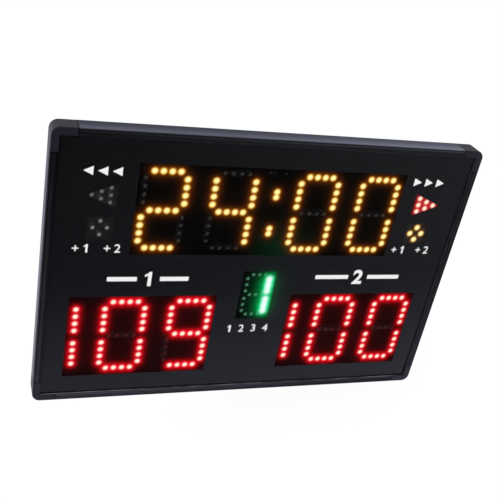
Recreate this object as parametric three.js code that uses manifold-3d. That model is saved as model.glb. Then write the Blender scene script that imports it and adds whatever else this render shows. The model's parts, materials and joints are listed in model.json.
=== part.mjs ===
// Electronic scoreboard for a wall: an aluminium frame with moulded corners holds a clear front
// sheet and a printed mask with the windows. The back panel carries the boards of round lamps in
// digit form, the drive electronics and the buzzer. The bottom edge has the switch and the inlet.
// Millimetres. X to the right, Y from the front to the wall, Z up.
// The origin is the centre of the back panel's rear face, on the wall plane.
import * as THREE from "three";
import { mergeGeometries, mergeVertices } from "three/addons/utils/BufferGeometryUtils.js";
import Module from "manifold-3d";

const wasm = await Module();
wasm.setup();

// Lamps and digits
const lampRadius = 2.5;
const domeHeight = 1.7;
const dotPitch = 10.16;
const dotsPerSegment = 4;
const digitHalfWidth = 24.2;
const digitHalfHeight = 49.1;
const digitPitch = 82.3;
const clockInnerX = 53.1;
const colonHalfGap = 24.5;
const colonPairPitch = 7.1;
const statusRadius = 1.6;
const statusRise = 52;
const statusLeftX = -13.5;
const statusMiddleX = -7.7;
const statusRightX = 6.6;

// Small digit between the score windows
const smallDotsPerSegment = 3;
const smallPitchX = 8.15;
const smallPitchZ = 9.1;
const smallHalfWidth = 14.6;
const smallHalfHeight = 29.5;
const smallDigitX = 1;

// Lamps beside the clock: an arrow over a diamond of four
const arrowPitchX = 10.6;
const arrowPitchZ = 9;
const arrowRise = 16.9;
const diamondSetback = 2;
const diamondDrop = 24.2;
const diamondHalfWidth = 8.15;
const diamondHalfHeight = 8.7;

// Windows in the mask, as margins around their lamps
const digitMarginZ = 8.9;
const clockMarginX = 8.4;
const hundredsOffset = 81.5;
const unitsOffset = 59.3;
const hundredsMargin = 9.6;
const unitsMargin = 7.2;
const smallMarginX = 7.4;
const smallMarginZ = 6;
const arrowTipMargin = 9.3;
const arrowBaseMargin = 7.2;
const arrowSideMargin = 6.8;
const diamondMargin = 6;

// Places of the windows on the front
const topMargin = 37.3;
const rowGap = 58;
const bottomMargin = 34.7;
const sideMargin = 34.3;
const smallDrop = 58.6;

// Frame rails: a grooved and stepped lip over the sheet's edge, a chamber, and the panel's ledge
const boardDepth = 25;
const lipWidth = 9;
const lipWall = 1.2;
const lipChamfer = 0.4;
const edgeRadius = 1.5;
const edgeLand = 0.2;
const grooveWidth = 0.9;
const grooveDepth = 0.5;
const stepWidth = 3.4;
const stepDepth = 0.4;
const outerWall = 1.5;
const chamberFront = 1.6;
const web = 1.2;
const slotFloor = 5.9;
const ledgeReach = 14;
const rebateWall = 2.6;

// Moulded corners
const cornerLeg = 28;
const cornerRadius = 10;
const tongueLength = 20;
const tongueTaper = 0.8;
const coreWall = 1.8;
const seamGap = 0.2;
const fitGap = 0.2;

// Sheets
const sheetThickness = 1.5;
const maskThickness = 0.25;
const sheetGap = 0.1;
const maskGap = 0.05;
const lampGap = 0.3;
const backThickness = 1.5;
const backGap = 0.1;
const rearClearance = 1.3;

// Boards on posts, with plug sockets and chips on their rear faces
const boardThickness = 1.6;
const boardBorder = 6.5;
const boardSpacing = 6;
const sideSpacing = 11.25;
const scoreSpacing = 6.3;
const postRadius = 3;
const postInset = 4;
const postGap = 0.1;
const socketLength = 11.5;
const socketWidth = 6;
const socketHeight = 3.2;
const socketInset = 6;
const smallSocketOffset = 13;
const chipLength = 10;
const chipWidth = 6;
const chipHeight = 1.6;
const chipSpacing = 26;

// Control board and the radio receiver that stands on it
const controlWidth = 74;
const controlHeight = 66;
const capacitorRadius = 2.5;
const capacitorLength = 6.5;
const capacitorSpacing = 12;
const capacitorRise = 6;
const receiverWidth = 30;
const receiverHeight = 13;
const receiverLift = 3.6;
const receiverRise = 5;
const receiverInset = 4;
const receiverCanLength = 12;
const receiverCanHeight = 1.8;
const receiverCanBorder = 1;
const pinBlockLength = 10;
const pinBlockWidth = 3;
const aerialRadius = 0.6;
const aerialLength = 24;

// Power board
const powerWidth = 62;
const powerHeight = 40;
const powerPostHeight = 3;
const powerOffset = 9.1;
const powerDrop = 30;
const coilRadius = 5;
const coilHeight = 3.8;
const coilSpacing = 16;
const coilRise = 10;
const terminalSize = 8;
const terminalHeight = 4;
const terminalGap = 1;
const terminalSpacing = 12;

// Buzzer behind the sound holes
const buzzerRadius = 15;
const buzzerHeight = 8.2;
const buzzerOffset = 0.9;
const buzzerDrop = 30;
const buzzerCupRadius = 12;
const buzzerCupDepth = 1;
const buzzerPortRadius = 3;
const soundHoleRadius = 1.5;
const soundHoleCount = 6;
const soundHoleCircle = 7;

// Ribbons and leads
const ribbonWidth = 10;
const ribbonThickness = 0.9;
const plugHeight = 3;
const plugGap = 0.1;
const leadRadius = 0.9;
const leadSteps = 12;
const leadGap = 0.3;
const leadBend = 3;
const leadArch = 8;
const leadSpread = 2;
const leadPassing = 5;

// Power switch in the bottom rail
const switchOffset = 8;
const switchCutLength = 13.6;
const switchCutWidth = 9;
const switchBodyDepth = 11;
const bezelOverhang = 0.9;
const bezelHeight = 1.1;
const switchEndWall = 1.1;
const switchSideWall = 1;
const pocketDepth = 5.4;
const tabLength = 4.5;
const tabWidth = 4;
const tabThickness = 0.8;
const tabOffset = 3.6;

// Rocker, measured from its pivot
const pivotDepth = 2.2;
const rockerEndGap = 0.7;
const rockerTip = 3.6;
const rockerMiddle = 2.9;
const rockerSkirtSetback = 0.6;
const rockerSkirtDepth = 0.5;
const rockerKeel = 1.5;
const rockerKeelDepth = 2.2;
const rockerTilt = THREE.MathUtils.degToRad(8);
const stubRadius = 0.8;
const stubLength = 0.6;
const stubGap = 0.25;

// Inlet for the power adaptor's plug
const inletOffset = 28;
const inletBodyRadius = 4.3;
const inletBodyDepth = 12.5;
const inletFlangeRadius = 6;
const inletFlangeHeight = 1.1;
const inletBoreRadius = 2.75;
const inletBoreDepth = 9;
const inletPinRadius = 1;
const inletPinSetback = 1.2;

// Countersunk holes and keyholes in the back panel
const screwRadius = 1.5;
const screwHeadRadius = 2.9;
const screwHeadHeight = 1.2;
const screwInset = 10;
const screwCornerInset = 45;
const keyholeX = 190;
const keyholeDrop = 32;
const keyholeHeadRadius = 4.5;
const keyholeSlotHalfWidth = 2.25;
const keyholeSlotRise = 9;

// Joined bodies sink into each other by this much, and cutting tools run past by the other
const sink = 0.2;
const overrun = 2;

// Facets
const lampSides = 6;
const postSides = 6;
const holeSides = 8;
const roundSides = 12;
const buzzerSides = 20;
const cornerArcSteps = 8;
const edgeArcSteps = 4;

// Looks: colour, roughness, metalness and, for the clear sheet, opacity
const graphiteAluminium = [0x3b3d42, 0.42, 0.7];
const graphitePlastic = [0x323338, 0.55, 0];
const clearSheet = [0x8a8d92, 0.08, 0, 0.2];
const charcoalPrint = [0x37383d, 0.6, 0];
const blackBoard = [0x0b0c0d, 0.5, 0];
const greenBoard = [0x1f5a36, 0.5, 0];
const darkSteel = [0x2b2c2e, 0.5, 0.6];
const blackPlastic = [0x121213, 0.45, 0];
const ribbonGrey = [0x8c8f94, 0.6, 0];
const leadBlack = [0x141414, 0.6, 0];

// Windows and the whole board, worked out from the digits
const digitWindowHeight = 2 * (digitHalfHeight + digitMarginZ);
const clockOuterX = clockInnerX + digitPitch;
const clockWindowHalf = clockOuterX + digitHalfWidth + clockMarginX;
const tensOffset = unitsOffset - digitPitch;
const scoreWindowLeft = hundredsOffset + hundredsMargin;
const scoreWindowRight = unitsOffset + digitHalfWidth + unitsMargin;
const scoreReach = Math.max(scoreWindowLeft, scoreWindowRight);
const smallReach = Math.abs(smallDigitX) + smallHalfWidth + smallMarginX + boardBorder;
const middleReach = Math.max(smallReach, controlWidth / 2);
const scoreCentreX = middleReach + scoreSpacing + boardBorder + scoreReach;
const sideNear = clockWindowHalf + boardBorder + sideSpacing;
const arrowX = sideNear + boardBorder / 2 + arrowBaseMargin + arrowPitchX;
const arrowTipX = arrowX + arrowPitchX + arrowTipMargin;
const sideFar = arrowTipX + boardBorder / 2;
const diamondX = arrowX - diamondSetback;
const boardWidth = 2 * (Math.max(scoreCentreX + scoreReach, arrowTipX) + sideMargin);
const boardHeight = topMargin + 2 * digitWindowHeight + rowGap + bottomMargin;
const halfWidth = boardWidth / 2;
const halfHeight = boardHeight / 2;
const clockZ = halfHeight - topMargin - digitWindowHeight / 2;
const scoreZ = bottomMargin + digitWindowHeight / 2 - halfHeight;
const smallZ = clockZ - digitWindowHeight / 2 - smallDrop;
const arrowZ = clockZ + arrowRise;
const diamondZ = clockZ - diamondDrop;

// Room that the parts between the boards and the back panel need
const powerStack = powerPostHeight + boardThickness + Math.max(terminalHeight, coilHeight);
const ribbonStack = socketHeight + plugGap + plugHeight + ribbonThickness;
const receiverStack = receiverLift + boardThickness + receiverCanHeight;
const buzzerStack = postGap + buzzerHeight;
const tallestStack = Math.max(powerStack, ribbonStack, receiverStack, buzzerStack, capacitorLength);

// Depths behind the front face. The boards stand off the back panel, and their lamps reach the mask.
const frontY = -boardDepth;
const sheetFront = lipWall + sheetGap;
const maskFront = sheetFront + sheetThickness + maskGap;
const slotBack = maskFront + maskThickness + sheetGap;
const panelInner = boardDepth - backThickness;
const ledgeDepth = panelInner - backGap;
const boardBack = panelInner - tallestStack - rearClearance;
const boardFront = boardBack - boardThickness;
const lampLength = boardFront - maskFront - maskThickness - lampGap;
const powerNear = panelInner - powerPostHeight - boardThickness;
const plugSeat = boardBack + socketHeight + plugGap;

// Outlines of the boards
const clockSpan = around(0, clockWindowHalf + boardBorder);
const clockRise = around(clockZ, digitWindowHeight / 2 + boardBorder);
const scoreRise = around(scoreZ, digitWindowHeight / 2 + boardBorder);
const smallSpan = around(smallDigitX, smallHalfWidth + smallMarginX + boardBorder);
const smallRise = around(smallZ, smallHalfHeight + smallMarginZ + boardBorder);
const sideRise = [
  diamondZ - diamondHalfHeight - diamondMargin - boardBorder,
  arrowZ + arrowPitchZ + arrowSideMargin + boardBorder,
];
const controlZ = smallRise[0] - boardSpacing - controlHeight / 2;
const controlSpan = around(0, controlWidth / 2);
const controlRise = around(controlZ, controlHeight / 2);
const powerX = scoreCentreX + powerOffset;
const powerZ = scoreZ - powerDrop;
const powerSpan = around(powerX, powerWidth / 2);
const powerRise = around(powerZ, powerHeight / 2);

// Places on the boards and in the case
const clockSocketX = clockSpan[1] - socketInset;
const clockSocketZ = clockRise[0] + socketInset;
const sideSocketX = sideSpan(1)[0] + socketInset;
const sideSocketZ = (arrowZ + diamondZ) / 2;
const controlSocketX = controlSpan[1] - socketInset;
const controlSocketZ = controlRise[1] - socketInset;
const smallSocketX = smallDigitX + smallSocketOffset;
const receiverX = controlSpan[0] + terminalSize + receiverInset + receiverWidth / 2;
const receiverEdge = controlRise[0] + capacitorRise + capacitorRadius + receiverRise;
const receiverZ = receiverEdge + receiverHeight / 2;
const controlTerminalZ = controlRise[0] + postInset + postRadius + terminalGap + terminalSize / 2;
const passingX = middleReach + scoreSpacing + postInset;
const passingZ = Math.max(controlTerminalZ, scoreRise[0] + postInset + postRadius + leadPassing);
const powerTerminals = [powerX - terminalSpacing, powerX];
const buzzerX = buzzerOffset - scoreCentreX;
const buzzerZ = scoreZ - buzzerDrop;
const switchX = powerX + switchOffset;
const inletX = switchX + inletOffset;
const bottomZ = -halfHeight;
const edgeY = frontY + boardDepth / 2;
const pocketLength = switchCutLength - 2 * (fitGap + switchEndWall);
const pocketWidth = switchCutWidth - 2 * (fitGap + switchSideWall);

const scoreboard = new THREE.Group();

// The span from reach below a middle to reach above it
function around(middle, reach) {
  return [middle - reach, middle + reach];
}

function scoreSpan(side) {
  const centre = side * scoreCentreX;
  return [centre - scoreWindowLeft - boardBorder, centre + scoreWindowRight + boardBorder];
}

function sideSpan(side) {
  return side > 0 ? [sideNear, sideFar] : [-sideFar, -sideNear];
}

// The score boards' sockets face the control board between them
function scoreSocketX(side) {
  return side < 0 ? scoreSpan(side)[1] - socketInset : scoreSpan(side)[0] + socketInset;
}

// Solids

function bareGeometry(geometry) {
  const bare = geometry.index ? geometry.toNonIndexed() : geometry.clone();
  bare.deleteAttribute("normal");
  bare.deleteAttribute("uv");
  return bare;
}

// A closed geometry as a solid. Faces that a pole squeezed flat are left out.
function solid(geometry) {
  const merged = mergeVertices(bareGeometry(geometry));
  const corners = merged.index.array;
  const faces = [];
  for (let i = 0; i < corners.length; i += 3) {
    const [a, b, c] = corners.slice(i, i + 3);
    if (a !== b && b !== c && c !== a) {
      faces.push([a, b, c]);
    }
  }
  const place = merged.attributes.position;
  const corner = (i) => new THREE.Vector3().fromBufferAttribute(place, i);
  const volume = faces.reduce((sum, [a, b, c]) => sum + corner(a).dot(corner(b).cross(corner(c))), 0);
  const outward = volume < 0 ? faces.map(([a, b, c]) => [a, c, b]) : faces;
  return new wasm.Manifold(new wasm.Mesh({
    numProp: 3,
    vertProperties: place.array,
    triVerts: new Uint32Array(outward.flat()),
  }));
}

function geometryOf(body) {
  const { vertProperties, triVerts } = body.getMesh();
  const geometry = new THREE.BufferGeometry();
  geometry.setAttribute("position", new THREE.BufferAttribute(vertProperties, 3));
  geometry.setIndex(new THREE.BufferAttribute(triVerts, 1));
  geometry.computeVertexNormals();
  return geometry;
}

function joined(first, ...rest) {
  return rest.reduce((body, next) => body.add(next), first);
}

function cut(first, ...rest) {
  return rest.reduce((body, next) => body.subtract(next), first);
}

function piece(name, body, [color, roughness, metalness, opacity = 1]) {
  const look = { color, roughness, metalness, opacity, transparent: opacity < 1 };
  const mesh = new THREE.Mesh(geometryOf(body), new THREE.MeshStandardMaterial(look));
  mesh.name = name;
  scoreboard.add(mesh);
  return mesh;
}

// Shapes

function depths(near, far) {
  return [frontY + near, frontY + far];
}

function box([x0, x1], [y0, y1], [z0, z1]) {
  const geometry = new THREE.BoxGeometry(Math.abs(x1 - x0), Math.abs(y1 - y0), Math.abs(z1 - z0));
  return solid(geometry.translate((x0 + x1) / 2, (y0 + y1) / 2, (z0 + z1) / 2));
}

// An outline in X and Z, from depth near to depth far. An arc gets two steps for each curve segment.
function slab(shape, near, far) {
  const settings = { depth: far - near, bevelEnabled: false, curveSegments: cornerArcSteps / 2 };
  const geometry = new THREE.ExtrudeGeometry(shape, settings);
  return solid(geometry.rotateX(Math.PI / 2).translate(0, frontY + far, 0));
}

function polygon(points) {
  return new THREE.Shape(points.map(([x, z]) => new THREE.Vector2(x, z)));
}

function rectangle([x0, x1], [z0, z1]) {
  return polygon([[x0, z0], [x1, z0], [x1, z1], [x0, z1]]);
}

// The board's outline with its round corners, set in by inset
function insetOutline(inset) {
  const x = halfWidth - inset - cornerRadius;
  const z = halfHeight - inset - cornerRadius;
  const radius = cornerRadius - inset;
  const outline = new THREE.Shape();
  outline.absarc(x + inset, z + inset, radius, 0, Math.PI / 2, false);
  outline.absarc(-x - inset, z + inset, radius, Math.PI / 2, Math.PI, false);
  outline.absarc(-x - inset, -z - inset, radius, Math.PI, 1.5 * Math.PI, false);
  outline.absarc(x + inset, -z - inset, radius, 1.5 * Math.PI, 2 * Math.PI, false);
  outline.closePath();
  return outline;
}

// A round bar along Y, from depth near to depth far
function bar(radius, near, far, x, z, sides) {
  const geometry = new THREE.CylinderGeometry(radius, radius, far - near, sides);
  return solid(geometry.translate(x, frontY + (near + far) / 2, z));
}

function turned(profile, sides) {
  return new THREE.LatheGeometry(profile.map(([radius, y]) => new THREE.Vector2(radius, y)), sides);
}

// Frame: four rails of one section, with moulded corners whose tongues fill the rails' chambers

function railSection() {
  const groove = edgeRadius + edgeLand;
  const outline = new THREE.Shape();
  outline.moveTo(0, edgeRadius);
  outline.absarc(edgeRadius, edgeRadius, edgeRadius, Math.PI, 1.5 * Math.PI, false);
  outline.lineTo(groove, 0);
  outline.lineTo(groove, grooveDepth);
  outline.lineTo(groove + grooveWidth, grooveDepth);
  outline.lineTo(groove + grooveWidth, 0);
  outline.lineTo(lipWidth - stepWidth, 0);
  outline.lineTo(lipWidth - stepWidth, stepDepth);
  outline.lineTo(lipWidth - lipChamfer, stepDepth);
  outline.lineTo(lipWidth, stepDepth + lipChamfer);
  outline.lineTo(lipWidth, lipWall);
  outline.lineTo(slotFloor, lipWall);
  outline.lineTo(slotFloor, slotBack);
  outline.lineTo(lipWidth, slotBack);
  outline.lineTo(lipWidth, slotBack + web);
  outline.lineTo(slotFloor, slotBack + web);
  outline.lineTo(slotFloor, ledgeDepth - web);
  outline.lineTo(ledgeReach, ledgeDepth - web);
  outline.lineTo(ledgeReach, ledgeDepth);
  outline.lineTo(rebateWall, ledgeDepth);
  outline.lineTo(rebateWall, boardDepth);
  outline.lineTo(edgeRadius, boardDepth);
  outline.absarc(edgeRadius, boardDepth - edgeRadius, edgeRadius, Math.PI / 2, Math.PI, false);
  const chamber = new THREE.Path();
  chamber.moveTo(outerWall, chamberFront);
  chamber.lineTo(slotFloor - web, chamberFront);
  chamber.lineTo(slotFloor - web, ledgeDepth - web);
  chamber.lineTo(outerWall, ledgeDepth - web);
  outline.holes.push(chamber);
  return outline;
}

// A rail lies along X or Z. Its section's first axis points inwards and its second to the wall.
function rail(length, inward, outerFace) {
  const settings = { depth: length, bevelEnabled: false, curveSegments: edgeArcSteps / 2 };
  const geometry = new THREE.ExtrudeGeometry(railSection(), settings);
  const back = new THREE.Vector3(0, 1, 0);
  const along = new THREE.Vector3().crossVectors(inward, back);
  geometry.translate(0, 0, -length / 2);
  geometry.applyMatrix4(new THREE.Matrix4().makeBasis(inward, back, along));
  geometry.translate(-inward.x * outerFace, frontY, -inward.z * outerFace);
  const holes = screwPlaces().map(([x, z]) => {
    return bar(screwRadius, ledgeDepth - web - overrun, boardDepth, x, z, holeSides);
  });
  return cut(solid(geometry), ...holes);
}

function addRails() {
  const across = boardWidth - 2 * (cornerLeg + seamGap);
  const upright = boardHeight - 2 * (cornerLeg + seamGap);
  piece("frame_left", rail(upright, new THREE.Vector3(1, 0, 0), halfWidth), graphiteAluminium);
  piece("frame_right", rail(upright, new THREE.Vector3(-1, 0, 0), halfWidth), graphiteAluminium);
  piece("frame_top", rail(across, new THREE.Vector3(0, 0, -1), halfHeight), graphiteAluminium);
  const bottom = rail(across, new THREE.Vector3(0, 0, 1), halfHeight);
  piece("frame_bottom", cut(bottom, switchCutout(), inletCutout()), graphiteAluminium);
}

// The plan of a corner: two legs around the board's corner, from inset to width behind its edges
function cornerPlan(sideX, sideZ, inset, width, leg) {
  const shape = new THREE.Shape();
  const at = (u, w) => [sideX * (halfWidth - u), sideZ * (halfHeight - w)];
  const radius = cornerRadius - inset;
  shape.moveTo(...at(leg, inset));
  for (let i = 0; i <= cornerArcSteps; i += 1) {
    const angle = (i / cornerArcSteps) * (Math.PI / 2);
    shape.lineTo(...at(cornerRadius - radius * Math.sin(angle), cornerRadius - radius * Math.cos(angle)));
  }
  shape.lineTo(...at(inset, leg));
  shape.lineTo(...at(width, leg));
  shape.lineTo(...at(width, width));
  shape.lineTo(...at(leg, width));
  return shape;
}

// A box in the corner's own measures: u from the side edge, w from the top or bottom edge
function cornerBox(sideX, sideZ, [u0, u1], [near, far], [w0, w1]) {
  const x = [sideX * (halfWidth - u0), sideX * (halfWidth - u1)];
  const z = [sideZ * (halfHeight - w0), sideZ * (halfHeight - w1)];
  return box(x, depths(near, far), z);
}

// The outer walls, with round edges outside and square ones inside
function cornerWalls(sideX, sideZ) {
  const spare = 2 * edgeRadius;
  const plan = cornerPlan(sideX, sideZ, 0, slotFloor + spare, cornerLeg + spare);
  const bevel = {
    depth: boardDepth - 2 * edgeRadius,
    bevelThickness: edgeRadius,
    bevelSize: edgeRadius,
    bevelOffset: -edgeRadius,
    bevelSegments: edgeArcSteps / 2,
  };
  const geometry = new THREE.ExtrudeGeometry(plan, bevel);
  const walls = solid(geometry.rotateX(Math.PI / 2).translate(0, -edgeRadius, 0));
  const whole = [-overrun, boardDepth + overrun];
  const span = [-overrun, cornerLeg];
  const inside = [slotFloor, cornerLeg + overrun];
  return cut(
    walls.intersect(cornerBox(sideX, sideZ, span, whole, span)),
    cornerBox(sideX, sideZ, inside, whole, inside),
  );
}

function tongue(sideX, sideZ, sideways) {
  const across = [outerWall + fitGap, slotFloor - web - fitGap];
  const along = [cornerLeg - sink, cornerLeg + tongueLength];
  const depth = [chamberFront + fitGap, ledgeDepth - web - fitGap];
  const tipAcross = [across[0] + tongueTaper, across[1] - tongueTaper];
  const tipAlong = [along[1] - sink, along[1] + tongueTaper];
  const tipDepth = [depth[0] + tongueTaper, depth[1] - tongueTaper];
  if (sideways) {
    return joined(
      cornerBox(sideX, sideZ, along, depth, across),
      cornerBox(sideX, sideZ, tipAlong, tipDepth, tipAcross),
    );
  }
  return joined(
    cornerBox(sideX, sideZ, across, depth, along),
    cornerBox(sideX, sideZ, tipAcross, tipDepth, tipAlong),
  );
}

function addCorner(name, sideX, sideZ) {
  const inside = [slotFloor - sink, cornerLeg];
  const past = [slotFloor, cornerLeg + overrun];
  const coreAcross = [coreWall, slotFloor + overrun];
  const coreAlong = [cornerRadius, cornerLeg - coreWall];
  const coreDepth = [slotBack + web, ledgeDepth - web];
  const behind = cornerBox(sideX, sideZ, inside, [slotBack, ledgeDepth], inside);
  const lip = cornerPlan(sideX, sideZ, edgeRadius, lipWidth, cornerLeg);
  const ledge = cornerPlan(sideX, sideZ, edgeRadius, ledgeReach, cornerLeg);
  const body = joined(
    cornerWalls(sideX, sideZ),
    slab(lip, 0, lipWall),
    slab(lip, slotBack, slotBack + web).intersect(behind),
    slab(ledge, ledgeDepth - web, ledgeDepth).intersect(behind),
    tongue(sideX, sideZ, true),
    tongue(sideX, sideZ, false),
  );
  piece(name, cut(
    body,
    cornerBox(sideX, sideZ, past, [lipWall, slotBack], past),
    cornerBox(sideX, sideZ, coreAcross, coreDepth, coreAlong),
    cornerBox(sideX, sideZ, coreAlong, coreDepth, coreAcross),
    slab(insetOutline(rebateWall), ledgeDepth, boardDepth + overrun),
  ), graphitePlastic);
}

function addCorners() {
  addCorner("corner_top_left", -1, 1);
  addCorner("corner_top_right", 1, 1);
  addCorner("corner_bottom_left", -1, -1);
  addCorner("corner_bottom_right", 1, -1);
}

// Clear front sheet and the printed mask behind it

function arrowWindow(side) {
  const base = side * (arrowX - arrowPitchX - arrowBaseMargin);
  const half = arrowPitchZ + arrowSideMargin;
  return polygon([[base, arrowZ - half], [side * arrowTipX, arrowZ], [base, arrowZ + half]]);
}

function windowShapes() {
  const digitHalf = digitWindowHeight / 2;
  const diamondReach = diamondHalfHeight + diamondMargin;
  const shapes = [rectangle(around(0, clockWindowHalf), around(clockZ, digitHalf))];
  for (const side of [-1, 1]) {
    const centre = side * scoreCentreX;
    shapes.push(rectangle([centre - scoreWindowLeft, centre + scoreWindowRight], around(scoreZ, digitHalf)));
    shapes.push(arrowWindow(side));
    shapes.push(rectangle(around(side * diamondX, diamondReach), around(diamondZ, diamondReach)));
  }
  shapes.push(rectangle(
    around(smallDigitX, smallHalfWidth + smallMarginX),
    around(smallZ, smallHalfHeight + smallMarginZ),
  ));
  return shapes;
}

function addSheets() {
  const halfX = halfWidth - slotFloor - fitGap;
  const halfZ = halfHeight - slotFloor - fitGap;
  const sheet = rectangle(around(0, halfX), around(0, halfZ));
  piece("front_sheet", slab(sheet, sheetFront, sheetFront + sheetThickness), clearSheet);
  const maskBack = maskFront + maskThickness;
  const windows = windowShapes().map((shape) => slab(shape, maskFront - overrun, maskBack + overrun));
  piece("printed_mask", cut(slab(sheet, maskFront, maskBack), ...windows), charcoalPrint);
}

// Lamp places, each as x and z

function row(count, pitch, x, z) {
  return Array.from({ length: count }, (_, i) => [x + (i - (count - 1) / 2) * pitch, z]);
}

function column(count, pitch, x, z) {
  return Array.from({ length: count }, (_, i) => [x, z + (i - (count - 1) / 2) * pitch]);
}

// One upright side of a digit: the lower segment and the upper one
function barDots(x, z) {
  const lower = column(dotsPerSegment, dotPitch, x, z - digitHalfHeight / 2);
  return lower.concat(column(dotsPerSegment, dotPitch, x, z + digitHalfHeight / 2));
}

function digitDots(x, z) {
  const levels = [-1, 0, 1].flatMap((level) => row(dotsPerSegment, dotPitch, x, z + level * digitHalfHeight));
  return [...levels, ...barDots(x - digitHalfWidth, z), ...barDots(x + digitHalfWidth, z)];
}

function smallDigitDots(x, z) {
  const dots = [];
  for (const level of [-1, 0, 1]) {
    dots.push(...row(smallDotsPerSegment, smallPitchX, x, z + level * smallHalfHeight));
  }
  for (const side of [-1, 1]) {
    for (const half of [-1, 1]) {
      const middle = z + (half * smallHalfHeight) / 2;
      dots.push(...column(smallDotsPerSegment, smallPitchZ, x + side * smallHalfWidth, middle));
    }
  }
  return dots;
}

function colonDots(x, z) {
  const upper = column(2, colonPairPitch, x, z + colonHalfGap);
  return upper.concat(column(2, colonPairPitch, x, z - colonHalfGap));
}

// Three figures, of which the first has only its upright bar
function scoreDots(x, z) {
  return [
    ...barDots(x - hundredsOffset, z),
    ...digitDots(x + tensOffset, z),
    ...digitDots(x + unitsOffset, z),
  ];
}

// Three columns of one, two and three lamps, the tip pointing away from the clock
function arrowDots(side) {
  return [1, 2, 3].flatMap((count) => {
    return column(count, arrowPitchZ, side * (arrowX + (2 - count) * arrowPitchX), arrowZ);
  });
}

function diamondDots(side) {
  const x = side * diamondX;
  const upright = [[x, diamondZ + diamondHalfHeight], [x, diamondZ - diamondHalfHeight]];
  return upright.concat([[x - diamondHalfWidth, diamondZ], [x + diamondHalfWidth, diamondZ]]);
}

// Boards

function plate([x0, x1], [z0, z1]) {
  return box([x0, x1], depths(boardFront, boardBack), [z0, z1]);
}

// A block that stands on a board's rear face
function rearBlock(x, z, halfX, halfZ, height) {
  return box(around(x, halfX), depths(boardBack - sink, boardBack + height), around(z, halfZ));
}

function levelSocket(x, z) {
  return rearBlock(x, z, socketLength / 2, socketWidth / 2, socketHeight);
}

function uprightSocket(x, z) {
  return rearBlock(x, z, socketWidth / 2, socketLength / 2, socketHeight);
}

function chip(x, z) {
  return rearBlock(x, z, chipLength / 2, chipWidth / 2, chipHeight);
}

// Domed lamps of one radius at each place, standing on the boards' front faces
function lamps(places, radius) {
  const profile = [
    [0, -sink],
    [radius, -sink],
    [radius, lampLength - domeHeight],
    [0, lampLength],
  ];
  const lamp = turned(profile, lampSides).rotateX(Math.PI);
  const copies = places.map(([x, z]) => bareGeometry(lamp).translate(x, frontY + boardFront, z));
  return solid(mergeGeometries(copies));
}

function addClockBoard() {
  const digits = [-clockOuterX, -clockInnerX, clockInnerX, clockOuterX].flatMap((x) => digitDots(x, clockZ));
  const status = [statusLeftX, statusMiddleX, statusRightX].map((x) => [x, clockZ + statusRise]);
  piece("clock_board", joined(
    plate(clockSpan, clockRise),
    lamps([...digits, ...colonDots(0, clockZ)], lampRadius),
    lamps(status, statusRadius),
    levelSocket(0, clockSocketZ),
    uprightSocket(-clockSocketX, sideSocketZ),
    uprightSocket(clockSocketX, sideSocketZ),
    chip(-chipSpacing, clockZ),
    chip(chipSpacing, clockZ),
  ), blackBoard);
}

function addScoreBoard(name, side) {
  const socketX = scoreSocketX(side);
  piece(name, joined(
    plate(scoreSpan(side), scoreRise),
    lamps(scoreDots(side * scoreCentreX, scoreZ), lampRadius),
    uprightSocket(socketX, controlZ),
    chip(socketX + side * chipSpacing, controlZ + chipSpacing),
  ), blackBoard);
}

function addSmallBoard() {
  piece("middle_digit_board", joined(
    plate(smallSpan, smallRise),
    lamps(smallDigitDots(smallDigitX, smallZ), lampRadius),
    levelSocket(smallSocketX, smallZ),
  ), blackBoard);
}

function addSideBoard(name, side) {
  piece(name, joined(
    plate(sideSpan(side), sideRise),
    lamps([...arrowDots(side), ...diamondDots(side)], lampRadius),
    uprightSocket(side * sideSocketX, sideSocketZ),
  ), blackBoard);
}

function addControlBoard() {
  const parts = [
    levelSocket(0, controlSocketZ),
    levelSocket(smallSocketX, controlSocketZ),
    chip(0, controlZ),
    rearBlock(receiverX, receiverZ, pinBlockLength / 2, pinBlockWidth / 2, receiverLift - plugGap),
  ];
  for (const side of [-1, 1]) {
    const capacitorEnd = boardBack + capacitorLength;
    const capacitorZ = controlRise[0] + capacitorRise;
    const x = side * (controlSpan[1] - terminalSize / 2);
    parts.push(
      uprightSocket(side * controlSocketX, controlZ),
      bar(capacitorRadius, boardBack - sink, capacitorEnd, side * capacitorSpacing, capacitorZ, roundSides),
      rearBlock(x, controlTerminalZ, terminalSize / 2, terminalSize / 2, terminalHeight),
    );
  }
  piece("control_board", joined(plate(controlSpan, controlRise), ...parts), greenBoard);
}

// The remote control's receiver: a small board on a pin block, with a can and a wire aerial
function addReceiver() {
  const near = boardBack + receiverLift;
  const far = near + boardThickness;
  const edgeX = receiverX - receiverWidth / 2;
  const canHalf = receiverHeight / 2 - receiverCanBorder;
  const aerial = new THREE.CylinderGeometry(aerialRadius, aerialRadius, aerialLength, lampSides);
  aerial.rotateZ(Math.PI / 2);
  aerial.translate(edgeX + sink - aerialLength / 2, frontY + (near + far) / 2, receiverZ);
  piece("receiver", joined(
    box(around(receiverX, receiverWidth / 2), depths(near, far), around(receiverZ, receiverHeight / 2)),
    box(
      around(receiverX, receiverCanLength / 2),
      depths(far - sink, far + receiverCanHeight),
      around(receiverZ, canHalf),
    ),
    solid(aerial),
  ), greenBoard);
}

// The power board's parts face forward, into the room behind the score board
function addPowerBoard() {
  const front = depths(powerNear - terminalHeight, powerNear + sink);
  const half = terminalSize / 2;
  const coilTop = powerNear - coilHeight;
  piece("power_board", joined(
    box(powerSpan, depths(powerNear, powerNear + boardThickness), powerRise),
    ...powerTerminals.map((x) => box(around(x, half), front, around(powerRise[0] + half, half))),
    box(around(powerSpan[0] + half, half), front, around(powerZ, half)),
    ...[-coilSpacing, coilSpacing].map((offset) => {
      return bar(coilRadius, coilTop, powerNear + sink, powerX + offset, powerZ + coilRise, roundSides);
    }),
  ), greenBoard);
}

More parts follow.
